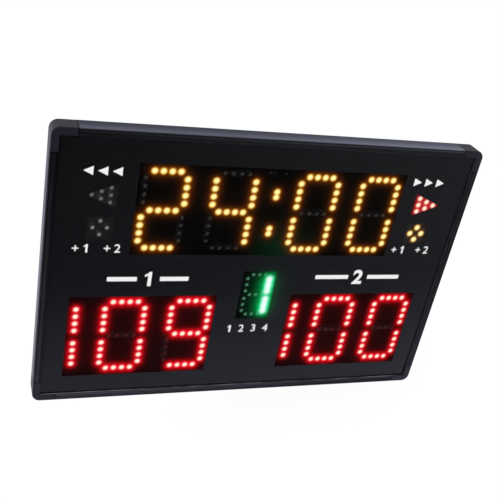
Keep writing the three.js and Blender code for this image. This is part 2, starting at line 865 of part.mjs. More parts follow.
// The buzzer stands on the back panel, its port opening into a cup behind the sound holes
function addBuzzer() {
  const profile = [
    [0, 0],
    [buzzerRadius - edgeRadius, 0],
    [buzzerRadius, edgeRadius],
    [buzzerRadius, buzzerHeight],
    [buzzerCupRadius, buzzerHeight],
    [buzzerCupRadius, buzzerHeight - buzzerCupDepth],
    [buzzerPortRadius, buzzerHeight - buzzerCupDepth],
    [buzzerPortRadius, buzzerHeight / 2],
    [0, buzzerHeight / 2],
  ];
  const front = frontY + panelInner - postGap - buzzerHeight;
  piece("buzzer", solid(turned(profile, buzzerSides).translate(buzzerX, front, buzzerZ)), blackPlastic);
}

// Back panel with its keyholes, sound holes, countersinks and the posts that carry the boards

function screwPlaces() {
  const x = halfWidth - screwInset;
  const z = halfHeight - screwInset;
  const near = halfWidth - screwCornerInset;
  const levels = [-z, z].flatMap((level) => [[-near, level], [0, level], [near, level]]);
  return [[-x, 0], [x, 0], ...levels];
}

function countersink(x, z) {
  const profile = [
    [0, -backThickness - overrun],
    [screwRadius + fitGap, -backThickness - overrun],
    [screwRadius + fitGap, -screwHeadHeight],
    [screwHeadRadius, 0],
    [screwHeadRadius, overrun],
    [0, overrun],
  ];
  return solid(turned(profile, holeSides).translate(x, 0, z));
}

function keyhole(x) {
  const z = halfHeight - keyholeDrop;
  const meet = Math.acos(keyholeSlotHalfWidth / keyholeHeadRadius);
  const outline = new THREE.Shape();
  outline.absarc(x, z, keyholeHeadRadius, Math.PI - meet, 2 * Math.PI + meet, false);
  outline.absarc(x, z + keyholeSlotRise, keyholeSlotHalfWidth, 0, Math.PI, false);
  return slab(outline, panelInner - overrun, boardDepth + overrun);
}

function soundHoles() {
  return Array.from({ length: soundHoleCount }, (_, i) => {
    const angle = (i / soundHoleCount) * 2 * Math.PI;
    const x = buzzerX + soundHoleCircle * Math.cos(angle);
    const z = buzzerZ + soundHoleCircle * Math.sin(angle);
    return bar(soundHoleRadius, panelInner - overrun, boardDepth + overrun, x, z, holeSides);
  });
}

// Post places inside a board's four corners
function postCorners([x0, x1], [z0, z1]) {
  const heights = [z0 + postInset, z1 - postInset];
  return [x0 + postInset, x1 - postInset].flatMap((x) => heights.map((z) => [x, z]));
}

function boardPosts() {
  const places = [
    ...postCorners(clockSpan, clockRise),
    ...postCorners(around(0, clockInnerX + postInset), clockRise),
    ...postCorners(smallSpan, smallRise),
    ...postCorners(controlSpan, controlRise),
  ];
  for (const side of [-1, 1]) {
    places.push(...postCorners(scoreSpan(side), scoreRise), ...postCorners(sideSpan(side), sideRise));
  }
  return places.map(([x, z]) => bar(postRadius, boardBack + postGap, panelInner + sink, x, z, postSides));
}

function powerPosts() {
  const near = powerNear + boardThickness + postGap;
  return postCorners(powerSpan, powerRise).map(([x, z]) => {
    return bar(postRadius, near, panelInner + sink, x, z, postSides);
  });
}

function addBackPanel() {
  const sheet = slab(insetOutline(rebateWall + fitGap), panelInner, boardDepth);
  const countersinks = screwPlaces().map(([x, z]) => countersink(x, z));
  const holes = [...countersinks, ...soundHoles(), keyhole(-keyholeX), keyhole(keyholeX)];
  piece("back_panel", cut(joined(sheet, ...boardPosts(), ...powerPosts()), ...holes), darkSteel);
}

// Ribbons run straight between two plugs, along X or along Z
function addRibbon(name, ...ends) {
  const [[x0, z0], [x1, z1]] = ends;
  const alongX = z0 === z1;
  const plugX = (alongX ? socketWidth : socketLength) / 2;
  const plugZ = (alongX ? socketLength : socketWidth) / 2;
  const stripX = alongX ? Math.abs(x1 - x0) / 2 : ribbonWidth / 2;
  const stripZ = alongX ? ribbonWidth / 2 : Math.abs(z1 - z0) / 2;
  const plugDepths = depths(plugSeat, plugSeat + plugHeight);
  const stripDepths = depths(plugSeat + plugHeight - sink, plugSeat + plugHeight + ribbonThickness);
  piece(name, joined(
    box(around((x0 + x1) / 2, stripX), stripDepths, around((z0 + z1) / 2, stripZ)),
    ...ends.map(([x, z]) => box(around(x, plugX), plugDepths, around(z, plugZ))),
  ), ribbonGrey);
}

function addRibbons() {
  addRibbon("ribbon_clock", [0, controlSocketZ], [0, clockSocketZ]);
  addRibbon("ribbon_middle_digit", [smallSocketX, controlSocketZ], [smallSocketX, smallZ]);
  for (const [end, side] of [["left", -1], ["right", 1]]) {
    addRibbon(`ribbon_score_${end}`, [side * controlSocketX, controlZ], [scoreSocketX(side), controlZ]);
    const near = [side * clockSocketX, sideSocketZ];
    addRibbon(`ribbon_indicator_${end}`, near, [side * sideSocketX, sideSocketZ]);
  }
}

// A wire through points, each as x, depth and z
function addLead(name, places) {
  const points = places.map(([x, depth, z]) => new THREE.Vector3(x, frontY + depth, z));
  const section = new THREE.Shape();
  section.absarc(0, 0, leadRadius, 0, 2 * Math.PI, false);
  const settings = {
    extrudePath: new THREE.CatmullRomCurve3(points),
    steps: leadSteps,
    curveSegments: lampSides / 2,
  };
  piece(name, solid(new THREE.ExtrudeGeometry(section, settings)), leadBlack);
}

// The adaptor's power goes from the inlet through the switch to the power board
function addSupplyLeads() {
  const middle = boardDepth / 2;
  const lane = powerNear - terminalHeight / 2;
  const tabEnd = bottomZ + switchBodyDepth + tabLength + leadGap;
  const inletEnd = bottomZ + inletBodyDepth + leadGap;
  const terminalEnd = powerRise[0] - leadGap;
  const turn = (tabEnd + terminalEnd) / 2;
  const [liveX, returnX] = powerTerminals;
  addLead("lead_inlet_to_switch", [
    [inletX - leadSpread, middle, inletEnd],
    [inletX - leadSpread, middle, inletEnd + leadBend],
    [(switchX + inletX) / 2, middle, inletEnd + leadArch],
    [switchX + tabOffset, middle, tabEnd + leadBend],
    [switchX + tabOffset, middle, tabEnd],
  ]);
  addLead("lead_switch_to_power", [
    [switchX - tabOffset, middle, tabEnd],
    [switchX - tabOffset, middle, tabEnd + leadBend],
    [(switchX + liveX) / 2, lane, turn],
    [liveX, lane, terminalEnd - leadBend],
    [liveX, lane, terminalEnd],
  ]);
  addLead("lead_inlet_to_power", [
    [inletX + leadSpread, middle, inletEnd],
    [inletX + leadSpread, middle, inletEnd + leadBend],
    [inletX + leadSpread - leadBend, lane, turn + leadBend],
    [returnX + leadBend, lane, turn + leadBend],
    [returnX, lane, terminalEnd - leadBend],
    [returnX, lane, terminalEnd],
  ]);
}

function addInnerLeads() {
  const powerLane = powerNear - terminalHeight / 2;
  const controlLane = boardBack + terminalHeight / 2;
  const buzzerLane = panelInner - buzzerHeight / 2;
  const buzzerEdge = buzzerX + buzzerRadius;
  const [controlLeft, controlRight] = controlSpan;
  addLead("lead_power_to_control", [
    [powerSpan[0] - leadGap, powerLane, powerZ],
    [powerSpan[0] - leadArch, powerLane, powerZ],
    [(powerSpan[0] + passingX) / 2, powerLane, (powerZ + passingZ) / 2],
    [passingX, controlLane, passingZ],
    [controlRight + leadBend, controlLane, controlTerminalZ],
    [controlRight + leadGap, controlLane, controlTerminalZ],
  ]);
  addLead("lead_buzzer", [
    [buzzerEdge + leadGap, buzzerLane, buzzerZ],
    [buzzerEdge + leadArch, buzzerLane, buzzerZ],
    [(buzzerEdge - passingX) / 2, buzzerLane, (buzzerZ + passingZ) / 2],
    [-passingX, controlLane, passingZ],
    [controlLeft - leadBend, controlLane, controlTerminalZ],
    [controlLeft - leadGap, controlLane, controlTerminalZ],
  ]);
}

// Bottom edge: the switch's housing and rocker, and the inlet

// A box through the bottom edge, from in0 to in1 above the rail's lower face
function edgeBox(x, halfX, halfY, in0, in1) {
  return box(around(x, halfX), around(edgeY, halfY), [bottomZ + in0, bottomZ + in1]);
}

function switchCutout() {
  return edgeBox(switchX, switchCutLength / 2, switchCutWidth / 2, -overrun, slotFloor + overrun);
}

function inletCutout() {
  const radius = inletBodyRadius + fitGap;
  const length = slotFloor + 2 * overrun;
  const geometry = new THREE.CylinderGeometry(radius, radius, length, roundSides);
  geometry.rotateX(-Math.PI / 2).translate(inletX, edgeY, bottomZ + slotFloor / 2);
  return solid(geometry);
}

function addSwitchHousing() {
  const halfX = switchCutLength / 2;
  const halfY = switchCutWidth / 2;
  const tabEnd = switchBodyDepth + tabLength;
  const body = joined(
    edgeBox(switchX, halfX - fitGap, halfY - fitGap, -bezelHeight, switchBodyDepth),
    edgeBox(switchX, halfX + bezelOverhang, halfY + bezelOverhang, -bezelHeight, 0),
    ...[-tabOffset, tabOffset].map((offset) => {
      return edgeBox(switchX + offset, tabThickness / 2, tabWidth / 2, switchBodyDepth - sink, tabEnd);
    }),
  );
  const middle = boardDepth / 2;
  const pivotHole = bar(
    stubRadius + stubGap, middle - switchCutWidth, middle + switchCutWidth,
    switchX, bottomZ + pivotDepth, holeSides,
  );
  const pocket = edgeBox(switchX, pocketLength / 2, pocketWidth / 2, -bezelHeight - overrun, pocketDepth);
  piece("switch_housing", cut(body, pocket, pivotHole), blackPlastic);
}

// The rocker is drawn level about its pivot and then turned to the position it rests in
function addRocker() {
  const half = pocketWidth / 2 - stubGap;
  const end = pocketLength / 2 - rockerEndGap;
  const skirt = end - rockerSkirtSetback;
  const outline = polygon([
    [-end, -rockerTip],
    [0, -rockerMiddle],
    [end, -rockerTip],
    [skirt, rockerSkirtDepth],
    [rockerKeel, rockerKeelDepth],
    [-rockerKeel, rockerKeelDepth],
    [-skirt, rockerSkirtDepth],
  ]);
  const paddle = new THREE.ExtrudeGeometry(outline, { depth: 2 * half, bevelEnabled: false });
  paddle.rotateX(Math.PI / 2).translate(0, half, 0);
  const reach = half + stubGap + stubLength;
  const stubs = new THREE.CylinderGeometry(stubRadius, stubRadius, 2 * reach, holeSides);
  const rocker = piece("power_rocker", joined(solid(paddle), solid(stubs)), blackPlastic);
  rocker.position.set(switchX, edgeY, bottomZ + pivotDepth);
  rocker.rotation.y = rockerTilt;
}

// The inlet's profile is drawn with its mouth up, and then turned to face down
function addInlet() {
  const profile = [
    [0, inletFlangeHeight - inletPinSetback],
    [inletPinRadius, inletFlangeHeight - inletPinSetback],
    [inletPinRadius, -inletBoreDepth],
    [inletBoreRadius, -inletBoreDepth],
    [inletBoreRadius, inletFlangeHeight],
    [inletFlangeRadius, inletFlangeHeight],
    [inletFlangeRadius, 0],
    [inletBodyRadius, 0],
    [inletBodyRadius, -inletBodyDepth],
    [0, -inletBodyDepth],
  ];
  const geometry = turned(profile, roundSides).rotateX(-Math.PI / 2);
  piece("power_inlet", solid(geometry.translate(inletX, edgeY, bottomZ)), blackPlastic);
}

addRails();
addCorners();
addSheets();
addClockBoard();
addScoreBoard("score_board_left", -1);
addScoreBoard("score_board_right", 1);
addSmallBoard();
addSideBoard("indicator_board_left", -1);
addSideBoard("indicator_board_right", 1);
addControlBoard();
addReceiver();
addPowerBoard();
addBuzzer();
addBackPanel();
addRibbons();
addSupplyLeads();
addInnerLeads();
addSwitchHousing();
addRocker();
addInlet();

export default scoreboard;
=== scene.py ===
import json
import math

import bmesh
import bpy
import numpy as np
from mathutils import Matrix, Vector


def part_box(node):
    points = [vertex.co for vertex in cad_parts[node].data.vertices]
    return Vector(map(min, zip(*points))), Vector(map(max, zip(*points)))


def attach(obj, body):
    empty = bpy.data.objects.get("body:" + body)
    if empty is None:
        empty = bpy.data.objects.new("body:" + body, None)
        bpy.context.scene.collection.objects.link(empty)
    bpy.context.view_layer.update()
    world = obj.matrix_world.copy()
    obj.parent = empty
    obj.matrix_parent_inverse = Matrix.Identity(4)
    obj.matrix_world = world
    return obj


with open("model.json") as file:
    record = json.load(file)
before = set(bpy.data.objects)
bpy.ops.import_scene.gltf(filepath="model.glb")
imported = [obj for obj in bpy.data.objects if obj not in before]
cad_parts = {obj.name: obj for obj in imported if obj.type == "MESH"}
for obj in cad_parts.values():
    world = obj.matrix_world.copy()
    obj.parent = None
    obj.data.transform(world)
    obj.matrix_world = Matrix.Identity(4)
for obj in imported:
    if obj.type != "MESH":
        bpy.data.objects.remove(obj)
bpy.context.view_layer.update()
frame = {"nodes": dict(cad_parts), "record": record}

MM = 0.001


# Camera

CAMERA_PLACE = (-0.36654, -0.82727, 0.49723)
CAMERA_RIGHT = (0.93671, -0.29975, 0.18090)
CAMERA_UP = (-0.00717, 0.50017, 0.86590)
CAMERA_BACK = (-0.35003, -0.81239, 0.46637)
LENS_LENGTH = 58.566
SENSOR_WIDTH = 36.0


def add_camera():
    data = bpy.data.cameras.new("camera")
    data.sensor_width = SENSOR_WIDTH
    data.lens = LENS_LENGTH
    camera = bpy.data.objects.new("camera", data)
    turn = Matrix((CAMERA_RIGHT, CAMERA_UP, CAMERA_BACK)).transposed().to_4x4()
    camera.matrix_world = Matrix.Translation(CAMERA_PLACE) @ turn
    bpy.context.scene.collection.objects.link(camera)
    bpy.context.scene.camera = camera
    bpy.context.scene.view_settings.view_transform = "Standard"


# Node building

GRAIN_RANGE = (0.3, 0.7)
GRAIN_HEIGHT = 0.02 * MM


class Shader:
    """A material's node tree, with short ways to add the nodes that this scene uses."""

    def __init__(self, name):
        self.material = bpy.data.materials.new(name)
        self.material.use_nodes = True
        self.tree = self.material.node_tree
        self.surface = self.tree.nodes["Principled BSDF"]

    def add(self, kind, **settings):
        node = self.tree.nodes.new(kind)
        for key, value in settings.items():
            setattr(node, key, value)
        return node

    def link(self, source, target):
        self.tree.links.new(source, target)

    def place(self, kind="Object"):
        return self.add("ShaderNodeTexCoord").outputs[kind]

    def axes(self, kind="Object"):
        """The place's X, Y and Z as three sockets."""
        node = self.add("ShaderNodeSeparateXYZ")
        self.link(self.place(kind), node.inputs["Vector"])
        return node.outputs

    def grain(self, scale, stretch=(1, 1, 1), detail=4.0):
        mapping = self.add("ShaderNodeMapping")
        mapping.inputs["Scale"].default_value = stretch
        noise = self.add("ShaderNodeTexNoise")
        noise.inputs["Scale"].default_value = scale
        noise.inputs["Detail"].default_value = detail
        self.link(self.place(), mapping.inputs["Vector"])
        self.link(mapping.outputs["Vector"], noise.inputs["Vector"])
        return noise.outputs["Fac"]

    def span(self, value, low, high, out_low, out_high):
        node = self.add("ShaderNodeMapRange")
        for name, number in zip(("From Min", "From Max", "To Min", "To Max"), (low, high, out_low, out_high)):
            node.inputs[name].default_value = number
        self.link(value, node.inputs["Value"])
        return node.outputs["Result"]

    def by_grain(self, grain, low, high):
        """The usual range of a grain, spread from low to high."""
        return self.span(grain, *GRAIN_RANGE, low, high)

    def mix(self, factor, low, high):
        node = self.add("ShaderNodeMix", data_type="RGBA")
        self.link(factor, node.inputs["Factor"])
        for socket, colour in ((node.inputs["A"], low), (node.inputs["B"], high)):
            if isinstance(colour, tuple):
                socket.default_value = (*colour, 1.0)
            else:
                self.link(colour, socket)
        return node.outputs["Result"]

    def maths(self, operation, first, second=0.0):
        node = self.add("ShaderNodeMath", operation=operation)
        for socket, value in zip(node.inputs, (first, second)):
            if isinstance(value, (int, float)):
                socket.default_value = value
            else:
                self.link(value, socket)
        return node.outputs["Value"]

    def bump(self, height, strength, distance):
        node = self.add("ShaderNodeBump")
        node.inputs["Strength"].default_value = strength
        node.inputs["Distance"].default_value = distance
        self.link(height, node.inputs["Height"])
        self.link(node.outputs["Normal"], self.surface.inputs["Normal"])

    def set(self, **values):
        for name, value in values.items():
            self.surface.inputs[name.replace("_", " ")].default_value = value


def finish(name, dark, light, rough, scale, bump=0.2, depth=GRAIN_HEIGHT, **values):
    """A surface whose tone, roughness and height all vary with one grain."""
    shader = Shader(name)
    grain = shader.grain(scale)
    tone = shader.by_grain(grain, 0.0, 1.0)
    shader.link(shader.mix(tone, dark, light), shader.surface.inputs["Base Color"])
    shader.link(shader.by_grain(grain, *rough), shader.surface.inputs["Roughness"])
    shader.bump(grain, bump, depth)
    shader.set(**values)
    return shader.material


# World, lights and floor

FILL_LEVEL = 0.55
KEY_LEVEL = 2.9
KEY_SPREAD = math.radians(16)
KEY_FROM = Vector((-0.45, -0.65, 0.6))
FLOOR_Z = -0.75
FLOOR_HALF = 8.0
FLOOR_COLOURS = ((0.88, 0.88, 0.88), (0.9, 0.9, 0.9))
FLOOR_GRAIN = 3.0
FLOOR_GLOW = 0.9
FLOOR_DIM = (0.1, 0.1, 0.1, 1.0)
# What gloss sees of the floor, by place from front to back, and of the sky, by direction
FRONT_GLOSS = ((-2.2, 0.0), (-1.2, 0.075), (-0.7, 0.42), (0.0, 1.0))
SIDE_GLOSS = 0.12
GLOSS_TINT = (0.98, 0.95, 1.12)
SKY_GLOSS = ((-1.0, 0.03), (-0.8, 0.3), (-0.2, 1.0))
SKY_HIGH = 0.5
SKY_HIGH_GLOSS = 0.45


def seen_directly(shader):
    """One for camera and transmission rays, and the light path node."""
    path = shader.add("ShaderNodeLightPath")
    total = shader.maths("ADD", path.outputs["Is Camera Ray"], path.outputs["Is Transmission Ray"])
    return shader.maths("MINIMUM", total, 1.0), path


def ramp(shader, value, stops, tint=(1.0, 1.0, 1.0)):
    """A tinted level that follows the stops, each a place and a level."""
    first, last = stops[0][0], stops[-1][0]
    node = shader.add("ShaderNodeValToRGB")
    elements = node.color_ramp.elements
    while len(elements) < len(stops):
        elements.new(0.5)
    for element, (place, level) in zip(elements, stops):
        element.position = (place - first) / (last - first)
        element.color = (*(level * channel for channel in tint), 1.0)
    shader.link(shader.span(value, first, last, 0.0, 1.0), node.inputs["Fac"])
    return node.outputs["Color"]


class WorldShader(Shader):
    """The same helpers on the world's node tree."""

    def __init__(self, world):
        self.tree = world.node_tree
        self.surface = self.tree.nodes["Background"]


def add_world():
    world = bpy.data.worlds.new("studio")
    bpy.context.scene.world = world
    world.use_nodes = True
    world.cycles.sampling_method = "NONE"
    shader = WorldShader(world)
    direct, path = seen_directly(shader)
    axes = shader.axes("Generated")
    forward = ramp(shader, axes["Y"], SKY_GLOSS)
    upward = shader.span(axes["Z"], 0.0, SKY_HIGH, 1.0, SKY_HIGH_GLOSS)
    gloss = shader.maths("MULTIPLY", forward, upward)
    level = shader.mix(path.outputs["Is Glossy Ray"], (FILL_LEVEL,) * 3, gloss)
    colour = shader.mix(direct, level, (1.0, 1.0, 1.0))
    shader.link(colour, shader.surface.inputs["Color"])


def add_key():
    data = bpy.data.lights.new("key", "SUN")
    data.energy = KEY_LEVEL
    data.angle = KEY_SPREAD
    key = bpy.data.objects.new("key", data)
    key.rotation_euler = KEY_FROM.to_track_quat("Z", "Y").to_euler()
    key.visible_glossy = False
    bpy.context.scene.collection.objects.link(key)


def joined(shader, kind, first, second, factor=None):
    """Two shaders added or mixed, as the node's kind says."""
    node = shader.add(kind)
    for socket, source in zip(list(node.inputs)[-2:], (first, second)):
        shader.link(source, socket)
    if factor is not None:
        shader.link(factor, node.inputs["Fac"])
    return node.outputs[0]


def floor_finish():
    """Pale to the camera and dull to other rays, with a gloss of its own for the sheet to reflect."""
    shader = Shader("floor")
    shader.material.cycles.emission_sampling = "NONE"
    shader.link(shader.mix(shader.grain(FLOOR_GRAIN), *FLOOR_COLOURS), shader.surface.inputs["Base Color"])
    shader.set(Roughness=1.0, Specular_IOR_Level=0.0)
    glow = shader.add("ShaderNodeEmission")
    glow.inputs["Strength"].default_value = FLOOR_GLOW
    dim = shader.add("ShaderNodeBsdfDiffuse")
    dim.inputs["Color"].default_value = FLOOR_DIM
    pale = joined(shader, "ShaderNodeAddShader", glow.outputs[0], dim.outputs[0])
    axes = shader.axes()
    forward = shader.add("ShaderNodeEmission")
    shader.link(ramp(shader, axes["Y"], FRONT_GLOSS, GLOSS_TINT), forward.inputs["Color"])
    rightward = shader.add("ShaderNodeEmission")
    level = shader.maths("MULTIPLY", shader.maths("MAXIMUM", axes["X"]), SIDE_GLOSS)
    shader.link(level, rightward.inputs["Strength"])
    shine = joined(shader, "ShaderNodeAddShader", forward.outputs[0], rightward.outputs[0])
    direct, path = seen_directly(shader)
    dull = shader.surface.outputs[0]
    unseen = joined(shader, "ShaderNodeMixShader", dull, shine, path.outputs["Is Glossy Ray"])
    whole = joined(shader, "ShaderNodeMixShader", unseen, pale, direct)
    shader.link(whole, shader.tree.nodes["Material Output"].inputs["Surface"])
    return shader.material


def add_floor():
    mesh = bpy.data.meshes.new("floor")
    half = FLOOR_HALF
    corners = [(-half, -half, FLOOR_Z), (half, -half, FLOOR_Z), (half, half, FLOOR_Z), (-half, half, FLOOR_Z)]
    mesh.from_pydata(corners, [], [(0, 1, 2, 3)])
    floor = bpy.data.objects.new("floor", mesh)
    mesh.materials.append(floor_finish())
    bpy.context.scene.collection.objects.link(floor)


# Finishes of the CAD nodes

RAIL_GRAIN = 900.0
RAIL_BRUSHING = (0.88, 1.12)
RAIL_ROUGHNESS = (0.26, 0.36)
RAIL_BUMP = 0.06
ALONG_X = (0.03, 1, 1)
ALONG_Z = (1, 1, 0.03)
LIP_Y = -0.0246
SEAM_WIDTH = 0.0009
SEAM_TONE = 0.01
# Painted light and shade: each tone of a rail's outer face has its place in depth, and each tone of its lip,
# painted highlight lines and darker bands among them, its distance from the edge
FACE_PAINTED_LIGHT = {
    "frame_top": ((-25.0, 0.14), (-22.5, 0.28), (-18.0, 0.22), (-12.0, 0.15), (-6.0, 0.11), (0.0, 0.10)),
    "frame_bottom": ((-25.0, 0.12), (-12.0, 0.14), (0.0, 0.12)),
    "frame_left": ((-25.0, 0.03), (-22.0, 0.05), (-18.0, 0.14), (-12.0, 0.38), (-6.0, 0.25), (0.0, 0.16)),
    "frame_right": ((-25.0, 0.07), (-22.0, 0.10), (-18.0, 0.16), (-12.0, 0.20), (0.0, 0.17)),
}
LIP_PAINTED_LIGHT = {
    "frame_top": ((0.0, 0.10), (1.6, 0.075), (2.2, 0.30), (2.9, 0.30), (3.4, 0.10), (5.5, 0.095),
                  (8.5, 0.095), (9.2, 0.11)),
    "frame_bottom": ((0.0, 0.12), (1.6, 0.075), (2.8, 0.06), (4.2, 0.065), (5.2, 0.10), (6.4, 0.12),
                     (8.4, 0.11), (9.2, 0.15)),
    "frame_left": ((0.0, 0.12), (1.4, 0.10), (5.2, 0.11), (6.0, 0.10), (6.8, 0.05), (9.2, 0.04)),
    "frame_right": ((0.0, 0.10), (2.0, 0.08), (2.9, 0.045), (3.6, 0.045), (4.3, 0.10), (6.2, 0.08),
                    (7.0, 0.05), (8.4, 0.045), (9.2, 0.09)),
}
RAIL_TINT = (0.93, 0.95, 1.07)
GRAZING_TINTS = {"frame_left": (0.45, 0.45, 0.465, 1.0)}
GRAZING_TINT = (0.60, 0.61, 0.68, 1.0)
PLASTIC_TINT = (0.62, 0.64, 0.84, 1.0)
PRINT_TINT = (0.95, 0.97, 1.12, 1.0)
# Tints of the painted light on each rail's outer face
FACE_PAINTED_TINTS = {"frame_top": (0.85, 0.88, 1.13), "frame_left": (1.0, 1.0, 1.03),
              "frame_bottom": (0.93, 1.0, 1.02)}
# How the painted light and shade rise and fall along each rail, by place in metres
FACE_PAINTED_LEVELS = {
    "frame_top": ((-0.25, 0.9), (0.0, 1.0), (0.15, 1.4), (0.25, 1.5)),
    "frame_bottom": ((-0.25, 1.0), (0.25, 1.0)),
    "frame_left": ((-0.153, 1.1), (-0.1, 1.05), (0.0, 1.0), (0.1, 0.6), (0.153, 0.55)),
    "frame_right": ((-0.153, 0.95), (0.0, 1.0), (0.08, 0.62), (0.153, 0.5)),
}
LIP_PAINTED_LEVELS = {
    "frame_top": ((-0.25, 1.0), (-0.15, 0.95), (0.0, 0.85), (0.15, 0.65), (0.25, 0.6)),
    "frame_bottom": ((-0.25, 1.2), (-0.15, 1.1), (0.0, 0.9), (0.15, 0.6), (0.25, 0.55)),
    "frame_left": ((-0.153, 0.9), (-0.1, 0.9), (0.0, 0.98), (0.1, 1.15), (0.153, 1.1)),
    "frame_right": ((-0.153, 0.95), (0.0, 0.9), (0.1, 1.0), (0.153, 1.0)),
}


def rail_metal_with_painted_light(node):
    """Brushed, anodised metal with painted light and shade: its tone follows the rail's depth and its place
    along the rail, and on its lip painted highlights and darker bands mark the groove and the step.
    """
    low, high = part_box(node)
    level = high.x - low.x > high.z - low.z
    along, across = ("X", "Z") if level else ("Z", "X")
    far_end = high.x if level else high.z
    outer = max(abs(low.z), abs(high.z)) if level else max(abs(low.x), abs(high.x))
    shader = Shader(f"anodised_{node}")
    axes = shader.axes()
    inward = shader.maths("SUBTRACT", outer, shader.maths("ABSOLUTE", axes[across]))
    tint = FACE_PAINTED_TINTS.get(node, RAIL_TINT)
    # Painted light and shade across the face's depth and the lip's width
    face = ramp(shader, axes["Y"], [(y * MM, tone) for y, tone in FACE_PAINTED_LIGHT[node]], tint)
    lip = ramp(shader, inward, [(d * MM, tone) for d, tone in LIP_PAINTED_LIGHT[node]], RAIL_TINT)
    on_face = shader.maths("GREATER_THAN", axes["Y"], LIP_Y)
    to_end = shader.maths("SUBTRACT", far_end, shader.maths("ABSOLUTE", axes[along]))
    seam = shader.maths("LESS_THAN", to_end, SEAM_WIDTH)
    dark = tuple(SEAM_TONE * channel for channel in RAIL_TINT)
    tone = shader.mix(seam, shader.mix(on_face, lip, face), dark)
    grain = shader.grain(RAIL_GRAIN, ALONG_X if level else ALONG_Z)
    # Painted light and shade along the rail
    face_level = ramp(shader, axes[along], FACE_PAINTED_LEVELS[node])
    lip_level = ramp(shader, axes[along], LIP_PAINTED_LEVELS[node])
    place_level = shader.mix(on_face, lip_level, face_level)
    whole_level = shader.maths("MULTIPLY", shader.by_grain(grain, *RAIL_BRUSHING), place_level)
    scaled = shader.add("ShaderNodeVectorMath", operation="SCALE")
    shader.link(tone, scaled.inputs[0])
    shader.link(whole_level, scaled.inputs["Scale"])
    shader.link(scaled.outputs["Vector"], shader.surface.inputs["Base Color"])
    shader.link(shader.by_grain(grain, *RAIL_ROUGHNESS), shader.surface.inputs["Roughness"])
    shader.bump(grain, RAIL_BUMP, GRAIN_HEIGHT)
    shader.set(Metallic=1.0, Specular_Tint=GRAZING_TINTS.get(node, GRAZING_TINT))
    return shader.material


def sheet_finish():
    """The clear front sheet, which is nearly all see-through and a little smeared."""
    shader = Shader("clear_sheet")
    smear = shader.grain(scale=14.0)
    shader.link(shader.mix(smear, (0.004, 0.004, 0.005), (0.007, 0.007, 0.008)),
                shader.surface.inputs["Base Color"])
    shader.link(shader.by_grain(smear, 0.05, 0.09), shader.surface.inputs["Roughness"])
    shader.set(IOR=1.49, Alpha=0.06, Specular_IOR_Level=0.3, Specular_Tint=PRINT_TINT)
    return shader.material


def depth_finish(name, edge, front, behind, rough, gloss):
    """A board whose plate has one tone and whose parts behind it have another."""
    shader = Shader(name)
    side = shader.maths("GREATER_THAN", shader.axes()["Y"], edge)
    grain = shader.grain(scale=900.0)
    near = shader.mix(grain, *front)
    far = shader.mix(grain, *behind)
    shader.link(shader.mix(side, near, far), shader.surface.inputs["Base Color"])
    shader.link(shader.by_grain(grain, *rough), shader.surface.inputs["Roughness"])
    shader.bump(grain, strength=0.15, distance=GRAIN_HEIGHT / 2)
    shader.set(Specular_IOR_Level=gloss)
    return shader.material


WIRE_SCALE = 120.0
WIRE_HEIGHT = 0.2 * MM


def ribbon_finish():
    """Side by side wires, as bands across the ribbon."""
    shader = Shader("ribbon_wires")
    wave = shader.add("ShaderNodeTexWave")
    wave.inputs["Scale"].default_value = WIRE_SCALE
    shader.link(shader.place(), wave.inputs["Vector"])
    shader.link(shader.mix(wave.outputs["Fac"], (0.30, 0.31, 0.33), (0.58, 0.59, 0.61)),
                shader.surface.inputs["Base Color"])
    shader.link(shader.span(wave.outputs["Fac"], 0.0, 1.0, 0.42, 0.55), shader.surface.inputs["Roughness"])
    shader.bump(wave.outputs["Fac"], strength=0.3, distance=WIRE_HEIGHT)
    return shader.material


LAMP_PLATE_BACK = 9.9
CONTROL_PLATE_BACK = 1.65


def slot_finishes():
    """One finish for each of the record's slots but the rails', which have one each."""
    lamp_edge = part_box("clock_board")[0].y + LAMP_PLATE_BACK * MM
    control_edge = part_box("control_board")[0].y + CONTROL_PLATE_BACK * MM
    return {
        "corner": finish("moulded_corner", (0.0045, 0.0048, 0.0070), (0.0075, 0.0080, 0.0115),
                         rough=(0.47, 0.58), scale=1100.0, bump=0.25, Specular_IOR_Level=0.7,
                         Specular_Tint=PLASTIC_TINT),
        "sheet": sheet_finish(),
        "print": finish("charcoal_print", (0.0036, 0.0038, 0.0044), (0.0048, 0.0050, 0.0056),
                        rough=(0.05, 0.09), scale=500.0, bump=0.02, Specular_Tint=PRINT_TINT),
        "lamp_board": depth_finish("black_board", lamp_edge,
                                   front=((0.0010, 0.0010, 0.0011), (0.0018, 0.0018, 0.0019)),
                                   behind=((0.02, 0.02, 0.022), (0.035, 0.035, 0.038)),
                                   rough=(0.5, 0.6), gloss=0.08),
        "circuit_board": depth_finish("green_board", control_edge,
                                      front=((0.02, 0.11, 0.05), (0.03, 0.15, 0.07)),
                                      behind=((0.025, 0.025, 0.028), (0.05, 0.05, 0.055)),
                                      rough=(0.3, 0.45), gloss=0.5),
        "panel": finish("powder_coat", (0.028, 0.028, 0.031), (0.045, 0.045, 0.049),
                        rough=(0.5, 0.62), scale=1400.0, bump=0.5, depth=3 * GRAIN_HEIGHT),
        "black_plastic": finish("black_plastic", (0.012, 0.012, 0.013), (0.02, 0.02, 0.021),
                                rough=(0.32, 0.42), scale=1300.0),
        "ribbon": ribbon_finish(),
        "lead": finish("wire_jacket", (0.012, 0.012, 0.012), (0.022, 0.022, 0.022),
                       rough=(0.4, 0.5), scale=700.0),
    }


def dress_nodes():
    materials = slot_finishes()
    for row in frame["record"]["subparts"]:
        node, slot = row["node"], row["material_slot"]
        chosen = rail_metal_with_painted_light(node) if slot == "rail" else materials[slot]
        data = frame["nodes"][node].data
        data.materials.clear()
        data.materials.append(chosen)


# Making pieces

WELD = 0.001 * MM


